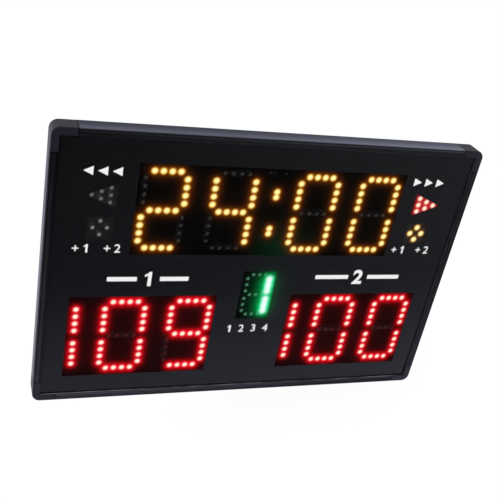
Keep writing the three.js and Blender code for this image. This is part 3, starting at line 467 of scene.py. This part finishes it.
def piece(name, mesh, material, body="board"):
    mesh.materials.append(material)
    made = bpy.data.objects.new(name, mesh)
    bpy.context.scene.collection.objects.link(made)
    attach(made, body)
    return made


def to_mesh(built, name):
    mesh = bpy.data.meshes.new(name)
    built.to_mesh(mesh)
    built.free()
    return mesh


def in_metres(profile):
    return [(wide * MM, tall * MM) for wide, tall in profile]


def lathed(profile, sides, places, turn=Matrix.Identity(3)):
    """Copies of one turned form: the profile's radius and height, turned about Z, then set at each place."""
    steps = np.arange(sides) * (2 * math.pi / sides)
    rings = [np.stack((radius * np.cos(steps), radius * np.sin(steps), np.full(sides, height)), 1)
             for radius, height in profile]
    single = np.concatenate(rings) @ np.array(turn).T
    count = len(profile)
    faces = []
    for ring in range(count - 1):
        for side in range(sides):
            after = (side + 1) % sides
            faces.append((ring * sides + side, ring * sides + after,
                          (ring + 1) * sides + after, (ring + 1) * sides + side))
    faces.append(tuple(range((count - 1) * sides, count * sides)))
    points, polygons = [], []
    for index, place in enumerate(places):
        points.extend(single + np.array(place))
        polygons.extend(tuple(corner + index * len(single) for corner in face) for face in faces)
    mesh = bpy.data.meshes.new("turned")
    mesh.from_pydata([tuple(point) for point in points], [], polygons)
    mesh.polygons.foreach_set("use_smooth", [True] * len(polygons))
    mesh.validate()
    return mesh


# Which lamps are lit

CLOCK_Z = 85.7
CLOCK_CENTRES = (-135.4, -53.1, 53.1, 135.4)
CLOCK_FIGURES = "2400"
SCORE_Z = -88.3
SCORE_CENTRE = 140.9
SCORE_OFFSETS = (-81.5, -23.0, 59.3)
SCORE_FIGURES = {-1: "|09", 1: "|00"}
SMALL_X = 1.0
SMALL_Z = -30.9
HALF_WIDTH = 24.2
HALF_HEIGHT = 49.1
SMALL_HALF_WIDTH = 14.6
SMALL_HALF_HEIGHT = 29.5
STATUS_RISE = 52.0
NEAR = 1.5
TIP_DEPTH = 0.05
SEGMENTS = {"0": "abcdef", "1": "bc", "2": "abged", "4": "fgbc", "9": "abcdfg", "|": "bc"}


def lamp_tips(node):
    """Places of the lamps' tips, which are a lamp board's foremost points, in millimetres."""
    data = frame["nodes"][node].data
    points = np.array([vertex.co for vertex in data.vertices])
    foremost = points[:, 1].min()
    tips = points[points[:, 1] < foremost + TIP_DEPTH * MM]
    return sorted({(round(x / MM, 1), round(z / MM, 1)) for x, _, z in tips.tolist()}), foremost / MM


def segment(x, z, half_width):
    """The letter of the segment that a lamp at x and z from its figure's centre belongs to."""
    if abs(abs(x) - half_width) < NEAR:
        right = x > -NEAR / 2
        return ("b" if right else "f") if z > 0 else ("c" if right else "e")
    return "g" if abs(z) < NEAR else ("a" if z > 0 else "d")


def figures_of(node):
    """The board's figures: centre, half width, half height and what each shows."""
    if node == "clock_board":
        return [(x, CLOCK_Z, HALF_WIDTH, HALF_HEIGHT, figure)
                for x, figure in zip(CLOCK_CENTRES, CLOCK_FIGURES)]
    if node == "middle_digit_board":
        return [(SMALL_X, SMALL_Z, SMALL_HALF_WIDTH, SMALL_HALF_HEIGHT, "1")]
    side = -1 if node.endswith("left") else 1
    return [(side * SCORE_CENTRE + offset, SCORE_Z, 0.0 if figure == "|" else HALF_WIDTH, HALF_HEIGHT, figure)
            for offset, figure in zip(SCORE_OFFSETS, SCORE_FIGURES[side])]


def lamp_group(node, x, z):
    """Which segment a lamp is in, and whether that segment is lit."""
    if node == "clock_board":
        if abs(z - CLOCK_Z - STATUS_RISE) < NEAR:
            return ("status", x), False
        if abs(x) < NEAR:
            return ("colon", z > CLOCK_Z), True
    if node.startswith("indicator"):
        lit = node.endswith("right")
        return ("arrow" if z > CLOCK_Z else "diamond", 0), lit
    for index, (centre, middle, half_width, half_height, figure) in enumerate(figures_of(node)):
        if abs(x - centre) < half_width + NEAR and abs(z - middle) < half_height + NEAR:
            letter = segment(x - centre, z - middle, half_width)
            return (index, letter), letter in SEGMENTS[figure]
    raise ValueError(f"no figure has the lamp at {x}, {z} on {node}")


# Lamp lenses

LAMP_LENGTH = 8.6
DOME_HEIGHT = 1.7
LENS_RADIUS = 2.54
STATUS_RADIUS = 1.64
LENS_SIDES = 20
DOME_RINGS = 6
LENS_LEAD = 0.04
FLANGE_SPREAD = 1.16
FLANGE_TOP = 1.0
FLANGE_STEP = 0.05
DOME_FLAT = 0.4


def lens_profile(radius):
    """From the board up the side and over a dome that covers the CAD lamp's cone."""
    dome_foot = LAMP_LENGTH - DOME_HEIGHT
    flange = radius * FLANGE_SPREAD
    profile = [(flange, 0), (flange, FLANGE_TOP), (radius, FLANGE_TOP + FLANGE_STEP), (radius, dome_foot)]
    for ring in range(1, DOME_RINGS + 1):
        angle = ring / (DOME_RINGS + DOME_FLAT) * math.pi / 2
        profile.append((radius * math.cos(angle), dome_foot + DOME_HEIGHT * math.sin(angle)))
    return in_metres(profile)


LENS_GRAIN = 800.0
RIM_Y = -19.5
CORE_Y = -21.2
RIM_STRENGTH = 0.02
BODY_SHARES = (0.02, 0.04)


def lit_lens(name, core, rim):
    """A lit lens, whose tip glows in the core's colour and whose side is nearly dark."""
    shader = Shader(name)
    shader.material.cycles.emission_sampling = "NONE"
    tip = shader.span(shader.axes()["Y"], RIM_Y * MM, CORE_Y * MM, 0.0, 1.0)
    shader.link(shader.mix(tip, rim, core), shader.surface.inputs["Emission Color"])
    shader.link(shader.span(tip, 0.0, 1.0, RIM_STRENGTH, 1.0), shader.surface.inputs["Emission Strength"])
    body = [tuple(share * channel for channel in rim) for share in BODY_SHARES]
    shader.link(shader.mix(shader.grain(LENS_GRAIN), *body), shader.surface.inputs["Base Color"])
    shader.set(Roughness=0.2, Specular_IOR_Level=0.2)
    return shader.material


DOME_FOOT_Y = -19.0
# Painted highlight on unlit lenses: the way its lighter side faces, and how its tone rises
PAINTED_SPOT_FACING = (0.36, -0.88, -0.31)
OFF_GRAIN = 300.0
WIDE_SPOT_STOPS = ((0.05, 0.1), (0.25, 0.7), (0.45, 1.0), (1.0, 1.0))
OFF_SPOT_STOPS = ((0.1, 0.05), (0.3, 0.42), (0.5, 0.9), (0.7, 1.0), (1.0, 1.0))


def off_lens(name, colour, stops):
    """An unlit lens with a painted highlight: grey low on the right side of its dome, and dark elsewhere."""
    shader = Shader(name)
    facing = shader.add("ShaderNodeVectorMath", operation="DOT_PRODUCT")
    facing.inputs[1].default_value = PAINTED_SPOT_FACING
    shader.link(shader.place("Normal"), facing.inputs[0])
    on_dome = shader.maths("LESS_THAN", shader.axes()["Y"], DOME_FOOT_Y * MM)
    # Painted highlight: lighter where the dome faces that way
    tone = ramp(shader, shader.maths("MULTIPLY", facing.outputs["Value"], on_dome), stops, colour)
    shader.link(tone, shader.surface.inputs["Base Color"])
    shader.link(shader.by_grain(shader.grain(OFF_GRAIN), 0.22, 0.32), shader.surface.inputs["Roughness"])
    shader.set(IOR=1.5, Specular_IOR_Level=0.3)
    return shader.material


# Each colour's core and rim where it is lit, or its tone and the stops of its painted highlight where it
# isn't
LIT_LENSES = {
    "amber": ((1.0, 0.95, 0.55), (0.9, 0.25, 0.02)),
    "red": ((1.0, 0.75, 0.6), (0.8, 0.02, 0.03)),
    "green": ((0.85, 1.0, 0.95), (0.0, 0.5, 0.2)),
    "crimson": ((1.0, 0.6, 0.6), (0.7, 0.01, 0.04)),
    "yellow": ((1.0, 0.97, 0.7), (0.9, 0.5, 0.1)),
}
OFF_LENSES = {
    "off": ((0.068, 0.064, 0.055), OFF_SPOT_STOPS),
    "off_red": ((0.17, 0.025, 0.03), OFF_SPOT_STOPS),
    "off_green": ((0.13, 0.44, 0.25), WIDE_SPOT_STOPS),
    "off_bright": ((0.50, 0.50, 0.49), OFF_SPOT_STOPS),
}
TO_FRONT = Matrix.Rotation(math.pi / 2, 3, "X")
LAMP_NODES = ("clock_board", "score_board_left", "score_board_right", "middle_digit_board",
              "indicator_board_left", "indicator_board_right")
FIGURE_NODES = LAMP_NODES[:4]
LIT_COLOURS = {"clock_board": "amber", "score_board_left": "red", "score_board_right": "red",
               "middle_digit_board": "green"}
OFF_KINDS = {"middle_digit_board": "off_green", "indicator_board_left": "off_bright",
             "score_board_left": "off_red", "score_board_right": "off_red"}


def lamp_state(node, group, lit):
    if group[0] == "status":
        return "status"
    if not lit:
        return OFF_KINDS.get(node, "off")
    return LIT_COLOURS.get(node) or {"arrow": "crimson", "diamond": "yellow"}[group[0]]


def add_lenses():
    """Lenses over every lamp. Returns each node's lamps by state, and by segment."""
    finishes = {state: lit_lens(f"lens_{state}", *colours) for state, colours in LIT_LENSES.items()}
    finishes.update((state, off_lens(f"lens_{state}", *tones)) for state, tones in OFF_LENSES.items())
    finishes["status"] = finishes["off"]
    found = {}
    for node in LAMP_NODES:
        tips, foremost = lamp_tips(node)
        by_state, by_group = {}, {}
        for x, z in tips:
            group, lit = lamp_group(node, x, z)
            by_group.setdefault(group, []).append((x, z))
            by_state.setdefault(lamp_state(node, group, lit), []).append((x, z))
        found[node] = by_state, by_group
        base = foremost + LAMP_LENGTH - LENS_LEAD
        for state, places in by_state.items():
            radius = STATUS_RADIUS if state == "status" else LENS_RADIUS
            spots = [(x * MM, base * MM, z * MM) for x, z in places]
            mesh = lathed(lens_profile(radius), LENS_SIDES, spots, TO_FRONT)
            piece(f"{node}_lenses_{state}", mesh, finishes[state])
    return found


# Black bars that the lamps of each segment stand in

BAR_HALF = 3.55
BAR_BACK = -13.0
BAR_FRONT = -20.0
BAR_EDGE = 0.45
BAR_STEPS = 6


def bar_outline(places, half):
    """A rounded bar around a straight row of lamps, as points in millimetres."""
    low_x, high_x = min(x for x, _ in places), max(x for x, _ in places)
    low_z, high_z = min(z for _, z in places), max(z for _, z in places)
    outline = []
    for quarter, (x, z) in enumerate(((high_x, high_z), (low_x, high_z), (low_x, low_z), (high_x, low_z))):
        for step in range(BAR_STEPS + 1):
            angle = (quarter + step / BAR_STEPS) * math.pi / 2
            outline.append((x + half * math.cos(angle), z + half * math.sin(angle)))
    return outline


def add_bars(found):
    black = finish("lamp_bar", (0.003, 0.003, 0.0032), (0.006, 0.006, 0.0063), rough=(0.35, 0.45),
                   scale=900.0, bump=0.15, Specular_IOR_Level=0.35)
    for node in FIGURE_NODES:
        built = bmesh.new()
        for group, places in found[node][1].items():
            if group[0] == "status":
                continue
            rings = []
            for depth, half in ((BAR_BACK, BAR_HALF), (BAR_FRONT + BAR_EDGE, BAR_HALF),
                                (BAR_FRONT, BAR_HALF - BAR_EDGE)):
                outline = bar_outline(places, half)
                rings.append([built.verts.new((x * MM, depth * MM, z * MM)) for x, z in outline])
            for back, front in zip(rings, rings[1:]):
                for index in range(len(back)):
                    after = (index + 1) % len(back)
                    built.faces.new((back[index], back[after], front[after], front[index]))
            built.faces.new(rings[-1])
        bmesh.ops.remove_doubles(built, verts=built.verts, dist=WELD)
        bmesh.ops.recalc_face_normals(built, faces=built.faces)
        name = f"{node}_bars"
        piece(name, to_mesh(built, name), black)


# Smoked film behind each window, which carries the lamps' glow, painted on it

FILM_Y = -21.76
FILM_PITCH = 1.0
BORDER = 4.5
GLOWS = {
    # Each colour's peak, radius and fall, its long tail, and the tail's reach
    "amber": ((9.5, 5.6, 0.69), (2.62, 2.52, 2.92), (2.3, 2.4, 3.5), (0.70, 0.14, 0.0), 2.4),
    "red": ((5.0, 3.3, 1.45), (2.40, 2.38, 2.72), (2.0, 3.0, 3.2), (11.2, 0.03, 0.10), 1.8),
    "red_row": ((5.0, 3.3, 1.45), (2.40, 2.38, 2.72), (2.0, 3.0, 3.2), (13.0, 0.03, 0.10), 1.9),
    "green": ((2.4, 2.9, 2.6), (3.0, 4.1, 3.6), (2.0, 2.0, 2.0), (0.0, 0.85, 0.15), 4.0),
    "green_between": ((2.0, 2.2, 2.0), (2.4, 3.5, 3.0), (2.0, 2.0, 2.0), (0.0, 0.65, 0.12), 4.0),
    "green_far": ((0.0, 0.012, 0.004), (30.0, 30.0, 30.0), (2.0, 2.0, 2.0), (0.0, 0.0, 0.0), 1.0),
    "crimson": ((5.0, 3.1, 1.4), (2.40, 2.36, 2.62), (2.0, 2.8, 3.0), (4.2, 0.02, 0.05), 1.9),
    "yellow": ((8.0, 5.4, 0.80), (2.60, 2.52, 2.88), (2.3, 2.4, 3.5), (0.25, 0.06, 0.0), 2.2),
}
FILM_BASE = 0.45
FILM_RATE = 2.5
FILM_STRENGTH = 1.13
LEAST_COVER = 0.001
# A faint painted haze of each colour's light, reaching far from its lamps
HAZE = {"amber": (0.0005, 0.0003, 0.0), "red": (0.0085, 0.0, 0.0), "red_row": (0.0085, 0.0, 0.0),
        "green": (0.0, 0.005, 0.002), "green_between": (0.0, 0.005, 0.002), "crimson": (0.002, 0.0, 0.0)}
DARK = (0.0, 0.0, 0.0)
HAZE_REACH = 12.0
# How far each colour's glow sits from its lamps, in x and z
LEANS = {"amber": (-0.3, 0.2), "red": (-0.15, 0.5), "red_row": (-0.15, 1.0),
         "green": (-0.8, 0.0), "green_between": (-0.8, 0.0)}


def film_levels(points, by_state, base):
    """Colour and cover of the film at each point, from a painted glow around the lit lamps."""
    total = np.zeros((len(points), 3))
    for state, (peaks, radii, falls, tails, reach) in GLOWS.items():
        lean_x, lean_z = LEANS.get(state, (0.0, 0.0))
        haze = HAZE.get(state, DARK)
        for x, z in by_state.get(state, []):
            away = np.hypot(points[:, 0] - x - lean_x, points[:, 1] - z - lean_z)
            for channel in range(3):
                core = peaks[channel] * np.exp(-(away / radii[channel]) ** falls[channel])
                total[:, channel] += core + tails[channel] * np.exp(-away / reach)
                total[:, channel] += haze[channel] * np.exp(-away / HAZE_REACH)
    glow = 1 - np.exp(-total)
    cover = 1 - (1 - base) * np.exp(-FILM_RATE * total.max(1))
    return glow, cover


def film_finish(name, dark, light):
    """A dark film that takes its painted glow and its cover from the mesh's colours."""
    shader = Shader(name)
    shader.material.cycles.emission_sampling = "NONE"
    glow = shader.add("ShaderNodeAttribute", attribute_name="glow")
    grain = shader.grain(scale=600.0)
    shader.link(shader.mix(grain, (dark,) * 3, (light,) * 3), shader.surface.inputs["Base Color"])
    shader.link(glow.outputs["Color"], shader.surface.inputs["Emission Color"])
    shader.link(glow.outputs["Alpha"], shader.surface.inputs["Alpha"])
    shader.link(shader.by_grain(grain, 0.08, 0.12), shader.surface.inputs["Roughness"])
    shader.set(Emission_Strength=FILM_STRENGTH, Specular_IOR_Level=0.0)
    return shader.material


def add_film(name, span_x, span_z, depth, levels, material):
    """A fine grid whose corners carry the glow's colour, and the film's cover as alpha."""
    across = np.linspace(*span_x, round((span_x[1] - span_x[0]) / FILM_PITCH) + 1)
    upward = np.linspace(*span_z, round((span_z[1] - span_z[0]) / FILM_PITCH) + 1)
    grid = np.array([(x, z) for z in upward for x in across])
    columns = len(across)
    faces = []
    for row in range(len(upward) - 1):
        for column in range(columns - 1):
            first = row * columns + column
            faces.append((first, first + 1, first + columns + 1, first + columns))
    mesh = bpy.data.meshes.new(name)
    mesh.from_pydata([(x * MM, depth * MM, z * MM) for x, z in grid.tolist()], [], faces)
    glow, cover = levels(grid)
    cover = np.maximum(cover, LEAST_COVER)
    values = np.concatenate([glow / cover[:, None], cover[:, None]], 1).astype(np.float32)
    layer = mesh.color_attributes.new("glow", "FLOAT_COLOR", "POINT")
    layer.data.foreach_set("color", values.ravel())
    film = piece(name, mesh, material)
    film.visible_shadow = False


SIDE_BORDER = 2.0
SIDE_SPLIT = CLOCK_Z - 6
SIDE_FILMS = {
    # The film's darker and lighter tone, and its cover where no light is
    "grey_film_arrow": (0.017, 0.020, 0.6),
    "grey_film_diamond": (0.020, 0.024, 0.42),
    "dark_film_arrow": (0.010, 0.013, 0.9),
    "dark_film_diamond": (0.011, 0.015, 0.92),
}
NEIGHBOUR_REACH = 10.0
# Low in the clock window, a painted spot of faint green light standing for the small figure's light, with no
# lamp behind it
FAR_GREEN = (18.0, 33.0)
LEVEL_LETTERS = ("a", "d", "g")


def between(places):
    """The middle of each two neighbours of a column."""
    extra = []
    for (x, z), (other_x, other_z) in zip(places, places[1:]):
        if abs(x - other_x) < NEAR and abs(z - other_z) < NEIGHBOUR_REACH:
            extra.append(((x + other_x) / 2, (z + other_z) / 2))
    return extra


def by_row(places, by_group):
    """The places in upright segments, and those in level ones."""
    level = set()
    for group, members in by_group.items():
        if group[1] in LEVEL_LETTERS:
            level.update(members)
    return [place for place in places if place not in level], [place for place in places if place in level]


def add_films(found):
    black = film_finish("smoked_film", 0.0003, 0.0006)
    for node in FIGURE_NODES:
        low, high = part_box(node)
        by_state = dict(found[node][0])
        if "green" in by_state:
            by_state["green_between"] = between(by_state["green"])
        if "red" in by_state:
            by_state["red"], by_state["red_row"] = by_row(by_state["red"], found[node][1])
        if node == "clock_board":
            by_state["green_far"] = [FAR_GREEN]
        add_film(f"{node}_film", (low.x / MM + BORDER, high.x / MM - BORDER),
                 (low.z / MM + BORDER, high.z / MM - BORDER), FILM_Y,
                 lambda grid, lamps=by_state: film_levels(grid, lamps, FILM_BASE), black)
    for word, shade in (("left", "grey"), ("right", "dark")):
        node = f"indicator_board_{word}"
        low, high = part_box(node)
        span_x = (low.x / MM + SIDE_BORDER, high.x / MM - SIDE_BORDER)
        upper = (SIDE_SPLIT, high.z / MM - SIDE_BORDER)
        lower = (low.z / MM + SIDE_BORDER, SIDE_SPLIT)
        by_state = found[node][0]
        for kind, span_z in (("arrow", upper), ("diamond", lower)):
            name = f"{shade}_film_{kind}"
            dark, light, cover = SIDE_FILMS[name]
            add_film(f"{kind}_film_{word}", span_x, span_z, FILM_Y,
                     lambda grid, lamps=by_state, base=cover: film_levels(grid, lamps, base),
                     film_finish(name, dark, light))
    add_spill(found)


SPILL_Y = -22.163
SPILL_X = (-48.0, 62.0)
SPILL_Z = (-76.0, 66.0)
SMALL_WINDOW = (22.0, 35.5)
SPILL_COVER = 3.0
SPILL_FADE = 4.0
SPILL_TERMS = (((0.0, 0.15, 0.03), 3.9), ((0.0, 0.007, 0.0018), 9.0))


def add_spill(found):
    """Painted green light that spreads over the print beside the small figure."""
    lit = found["middle_digit_board"][0]["green"]
    lamps = [(x + LEANS["green"][0], z) for x, z in lit + between(lit)]
    middle, reach = np.mean(SPILL_X), (SPILL_X[1] - SPILL_X[0]) / 2
    centre, rise = np.mean(SPILL_Z), (SPILL_Z[1] - SPILL_Z[0]) / 2

    def levels(grid):
        total = np.zeros((len(grid), 3))
        for x, z in lamps:
            away = np.hypot(grid[:, 0] - x, grid[:, 1] - z)
            for colour, length in SPILL_TERMS:
                total += np.exp(-away / length)[:, None] * np.array(colour)
        fade = np.clip(SPILL_FADE * (1 - np.abs(grid[:, 0] - middle) / reach), 0, 1)
        fade *= np.clip(SPILL_FADE * (1 - np.abs(grid[:, 1] - centre) / rise), 0, 1)
        inside = np.maximum(np.abs(grid[:, 0] - SMALL_X) - SMALL_WINDOW[0],
                            np.abs(grid[:, 1] - SMALL_Z) - SMALL_WINDOW[1]) < 0
        fade[inside] = 0
        glow = (1 - np.exp(-total)) * fade[:, None]
        return glow, np.clip(SPILL_COVER * glow.max(1), 0, 1)

    material = film_finish("green_spill", 0.0, 0.001)
    add_film("green_spill", SPILL_X, SPILL_Z, SPILL_Y, levels, material)


# A painted highlight for the clear sheet's edge, a fine line of light along the lower and right lips

LIP_INSET = 9.0
LINE_WIDTH = 0.75
LINE_Y = -23.72
PATCH_GRAIN = 38.0
PATCH_RANGE = (0.45, 0.62)


def glint_finish(name, dark, light):
    """A painted highlight line that is brighter in patches."""
    shader = Shader(name)
    patches = shader.grain(PATCH_GRAIN, detail=1.0)
    patched = shader.span(patches, *PATCH_RANGE, 0.0, 1.0)
    shader.link(shader.mix(patched, dark, light), shader.surface.inputs["Base Color"])
    shader.link(shader.by_grain(patches, 0.25, 0.4), shader.surface.inputs["Roughness"])
    return shader.material


def add_edge_glints():
    low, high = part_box("corner_bottom_left")[0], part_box("corner_top_right")[1]
    left, right = low.x / MM + LIP_INSET, high.x / MM - LIP_INSET
    bottom, top = low.z / MM + LIP_INSET, high.z / MM - LIP_INSET
    lower = [(left, bottom), (right, bottom), (right, bottom + LINE_WIDTH), (left, bottom + LINE_WIDTH)]
    upright = [(right - LINE_WIDTH, bottom + LINE_WIDTH), (right, bottom + LINE_WIDTH), (right, top),
               (right - LINE_WIDTH, top)]
    # Painted glints: light strips, brighter in patches, on the lower and right edge
    lower_glint = glint_finish("edge_light_lower", (0.05, 0.05, 0.056), (0.19, 0.19, 0.20))
    upright_glint = glint_finish("edge_light_right", (0.022, 0.022, 0.026), (0.045, 0.045, 0.05))
    piece("painted_glint_lower", flat_mesh("painted_glint_lower", [lower], LINE_Y), lower_glint)
    piece("painted_glint_right", flat_mesh("painted_glint_right", [upright], LINE_Y), upright_glint)


# White marks on the mask

MARK_Y = -22.175


def flat_mesh(name, outlines, depth):
    """Flat shapes that face the front: each outline is a list of x and z in millimetres."""
    built = bmesh.new()
    for outline in outlines:
        front = [built.verts.new((x * MM, depth * MM, z * MM)) for x, z in outline]
        built.faces.new(front)
    bmesh.ops.recalc_face_normals(built, faces=built.faces)
    for face in built.faces:
        if face.normal.y > 0:
            face.normal_flip()
    return to_mesh(built, name)


def block(x, z, width, height):
    return [(x - width / 2, z - height / 2), (x + width / 2, z - height / 2),
            (x + width / 2, z + height / 2), (x - width / 2, z + height / 2)]


CAP_SHARE = 0.7
ONE_MIDDLE = 0.34
ONE_SHAPE = ((0.30, -0.5), (0.52, -0.5), (0.52, 0.5), (0.36, 0.5), (0.30, 0.40), (0.10, 0.30), (0.10, 0.14),
             (0.30, 0.22))


def glyph(character, height, weight):
    """A plain figure's points and faces, its middle at the origin, in millimetres of x and z."""
    curve = bpy.data.curves.new("glyph", "FONT")
    curve.body = character
    curve.align_x = "CENTER"
    curve.align_y = "CENTER"
    curve.size = height / CAP_SHARE * MM
    curve.offset = weight * MM
    shape = bpy.data.objects.new("glyph", curve)
    bpy.context.scene.collection.objects.link(shape)
    bpy.context.view_layer.update()
    mesh = bpy.data.meshes.new_from_object(shape)
    bpy.data.objects.remove(shape)
    points = np.array([vertex.co for vertex in mesh.vertices])
    middle = (points.min(0) + points.max(0)) / 2
    faces = [tuple(polygon.vertices) for polygon in mesh.polygons]
    return [((x - middle[0]) / MM, (y - middle[1]) / MM) for x, y, _ in points.tolist()], faces


def sign(name, words, place, height, pitch, weight, material):
    """Plain figures in a row, their middle at the place."""
    x, z = place
    points, faces = [], []
    for index, character in enumerate(words):
        if character == " ":
            continue
        offset = x + (index - (len(words) - 1) / 2) * pitch
        if character == "1":
            outline = [((a - ONE_MIDDLE) * height, b * height) for a, b in ONE_SHAPE]
            polygons = [tuple(range(len(outline)))]
        else:
            outline, polygons = glyph(character, height, weight)
        faces.extend(tuple(corner + len(points) for corner in face) for face in polygons)
        points.extend(((a + offset) * MM, MARK_Y * MM, (b + z) * MM) for a, b in outline)
    mesh = bpy.data.meshes.new(name)
    mesh.from_pydata(points, [], faces)
    piece(name, mesh, material)


MARKS = (
    # Side, which way its pointers point, its figure and bars' place and reach, and its other marks' places
    ("left", -1, "1", (-140.7, -5.8), 99.2, (-207.4, 132.4), (-206.3, 35.7)),
    ("right", 1, "2", (138.4, -4.3), 121.6, (201.1, 134.2), (204.0, 37.2)),
)
FIGURE_HEIGHT = 20
FIGURE_WEIGHT = 1.0
BAR_GAP = 14
BAR_HEIGHT = 6
POINTER_PITCH = 16
POINTER_TIP = 6
POINTER_TAIL = 5
POINTER_RISE = 5.5
SMALL_HEIGHT = 11
SMALL_WEIGHT = 0.15
STEPS_PITCH = 12
NUMBERS_PLACE = (-1.3, -81.2)
NUMBERS_PITCH = 8.2


def pointer(way, x, z):
    return [(x + way * POINTER_TIP, z), (x - way * POINTER_TAIL, z + POINTER_RISE),
            (x - way * POINTER_TAIL, z - POINTER_RISE)]


def add_marks():
    white = finish("white_print", (0.80, 0.80, 0.80), (0.90, 0.90, 0.90), rough=(0.45, 0.6), scale=900.0,
                   bump=0.05)
    for word, way, figure, (x, z), reach, (pointer_x, pointer_z), steps_place in MARKS:
        sign(f"figure_{word}", figure, (x, z), FIGURE_HEIGHT, 0, FIGURE_WEIGHT, white)
        bar = reach / 2 - BAR_GAP
        bars = [block(x + side * (BAR_GAP + bar / 2), z, bar, BAR_HEIGHT) for side in (-1, 1)]
        piece(f"bars_{word}", flat_mesh(f"bars_{word}", bars, MARK_Y), white)
        pointers = [pointer(way, pointer_x + step * POINTER_PITCH, pointer_z) for step in (-1, 0, 1)]
        piece(f"pointers_{word}", flat_mesh(f"pointers_{word}", pointers, MARK_Y), white)
        sign(f"steps_{word}", "+1 +2", steps_place, SMALL_HEIGHT, STEPS_PITCH, SMALL_WEIGHT, white)
    sign("numbers_middle", "1 2 3 4", NUMBERS_PLACE, SMALL_HEIGHT, NUMBERS_PITCH, SMALL_WEIGHT, white)


# Screws in the back panel

SCREW_PLACES = ((-256.3, 0), (256.3, 0), (-221.3, 171), (0, 171), (221.3, 171), (-221.3, -171), (0, -171),
                (221.3, -171))
# Radius and depth of the turned screw, from inside the panel out to the head's face
SCREW_PROFILE = ((1.35, -6.0), (1.35, -1.6), (2.75, -0.28), (2.75, -0.12), (2.4, -0.06), (1.2, -0.05))
SCREW_SIDES = 32
RECESS_Y = -0.045
RECESS_LENGTH = 2.6
RECESS_WIDTH = 0.55
TO_BACK = Matrix.Rotation(-math.pi / 2, 3, "X")


def add_screws():
    steel = finish("zinc_steel", (0.42, 0.42, 0.43), (0.62, 0.62, 0.63), rough=(0.25, 0.38), scale=1500.0,
                   bump=0.1, Metallic=1.0)
    spots = [(x * MM, 0, z * MM) for x, z in SCREW_PLACES]
    piece("panel_screws", lathed(in_metres(SCREW_PROFILE), SCREW_SIDES, spots, TO_BACK), steel)
    # Painted shade: a flat dark cross on each head where the drive's hollow is
    dark = finish("painted_recess_shade", (0.006, 0.006, 0.006), (0.012, 0.012, 0.012), rough=(0.6, 0.7), scale=900.0)
    built = bmesh.new()
    for x, z in SCREW_PLACES:
        for wide, tall in ((RECESS_LENGTH, RECESS_WIDTH), (RECESS_WIDTH, RECESS_LENGTH)):
            corners = [(a * MM, RECESS_Y * MM, b * MM) for a, b in block(x, z, wide, tall)]
            built.faces.new([built.verts.new(corner) for corner in corners])
    piece("screw_recess_shades", to_mesh(built, "screw_recess_shades"), dark)


# The rocker's marks and the inlet's pin

MARK_RISE = 0.02
WIDE_FACE = 5e-6
FACING_DOWN = -0.9
RING_RADII = (0.95, 0.65)
RING_STEPS = 28
BAR_SIZE = (0.32, 2.0)
# Radius and height of the pin's sleeve, from its end in the bore to just past the CAD pin's tip
PIN_PROFILE = ((1.03, 6.0), (1.03, 0.15), (0.85, -0.02), (0.4, -0.04))
PIN_SIDES = 24
PIN_ZONE = 1.1


def ring_faces(built, spot):
    """A flat ring, whose points the function spot places."""
    turns = [step * 2 * math.pi / RING_STEPS for step in range(RING_STEPS)]
    outer, inner = ([built.verts.new(spot(radius * math.cos(turn), radius * math.sin(turn)))
                     for turn in turns] for radius in RING_RADII)
    for step in range(RING_STEPS):
        after = (step + 1) % RING_STEPS
        built.faces.new((outer[step], outer[after], inner[after], inner[step]))


def add_rocker_marks():
    """A white bar and a white ring on the two halves of the rocker."""
    white = finish("rocker_print", (0.62, 0.62, 0.62), (0.72, 0.72, 0.72), rough=(0.45, 0.6), scale=900.0,
                   bump=0.05)
    data = frame["nodes"]["power_rocker"].data
    for name, way in (("rocker_bar", 1), ("rocker_ring", -1)):
        faces = [face for face in data.polygons
                 if face.area > WIDE_FACE and face.normal.z < FACING_DOWN and face.normal.x * way > 0]
        area = sum(face.area for face in faces)
        centre = sum((face.center * face.area for face in faces), Vector()) / area
        normal = sum((face.normal * face.area for face in faces), Vector()).normalized()
        along = Vector((0, 1, 0))
        across = normal.cross(along)
        centre += normal * MARK_RISE * MM

        def spot(a, b):
            return centre + across * (a * MM) + along * (b * MM)

        built = bmesh.new()
        if way > 0:
            built.faces.new([built.verts.new(spot(a, b)) for a, b in block(0, 0, *BAR_SIZE)])
        else:
            ring_faces(built, spot)
        for face in built.faces:
            face.normal_update()
            if face.normal.dot(normal) < 0:
                face.normal_flip()
        piece(name, to_mesh(built, name), white, "rocker")


def add_inlet_pin():
    """A bright sleeve over the pin in the inlet's bore."""
    low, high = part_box("power_inlet")
    axis = Vector(((low.x + high.x) / 2, (low.y + high.y) / 2, 0))
    tip = min(vertex.co.z for vertex in frame["nodes"]["power_inlet"].data.vertices
              if (vertex.co.xy - axis.xy).length < PIN_ZONE * MM)
    mesh = lathed(in_metres(PIN_PROFILE), PIN_SIDES, [(axis.x, axis.y, tip)])
    bright = finish("pin_nickel", (0.55, 0.53, 0.50), (0.68, 0.66, 0.62), rough=(0.2, 0.32), scale=1500.0,
                    Metallic=1.0)
    piece("inlet_pin_sleeve", mesh, bright)


# Building the scene

add_camera()
add_world()
add_key()
add_floor()
dress_nodes()
lamps = add_lenses()
add_bars(lamps)
add_films(lamps)
add_edge_glints()
add_marks()
add_screws()
add_rocker_marks()
add_inlet_pin()
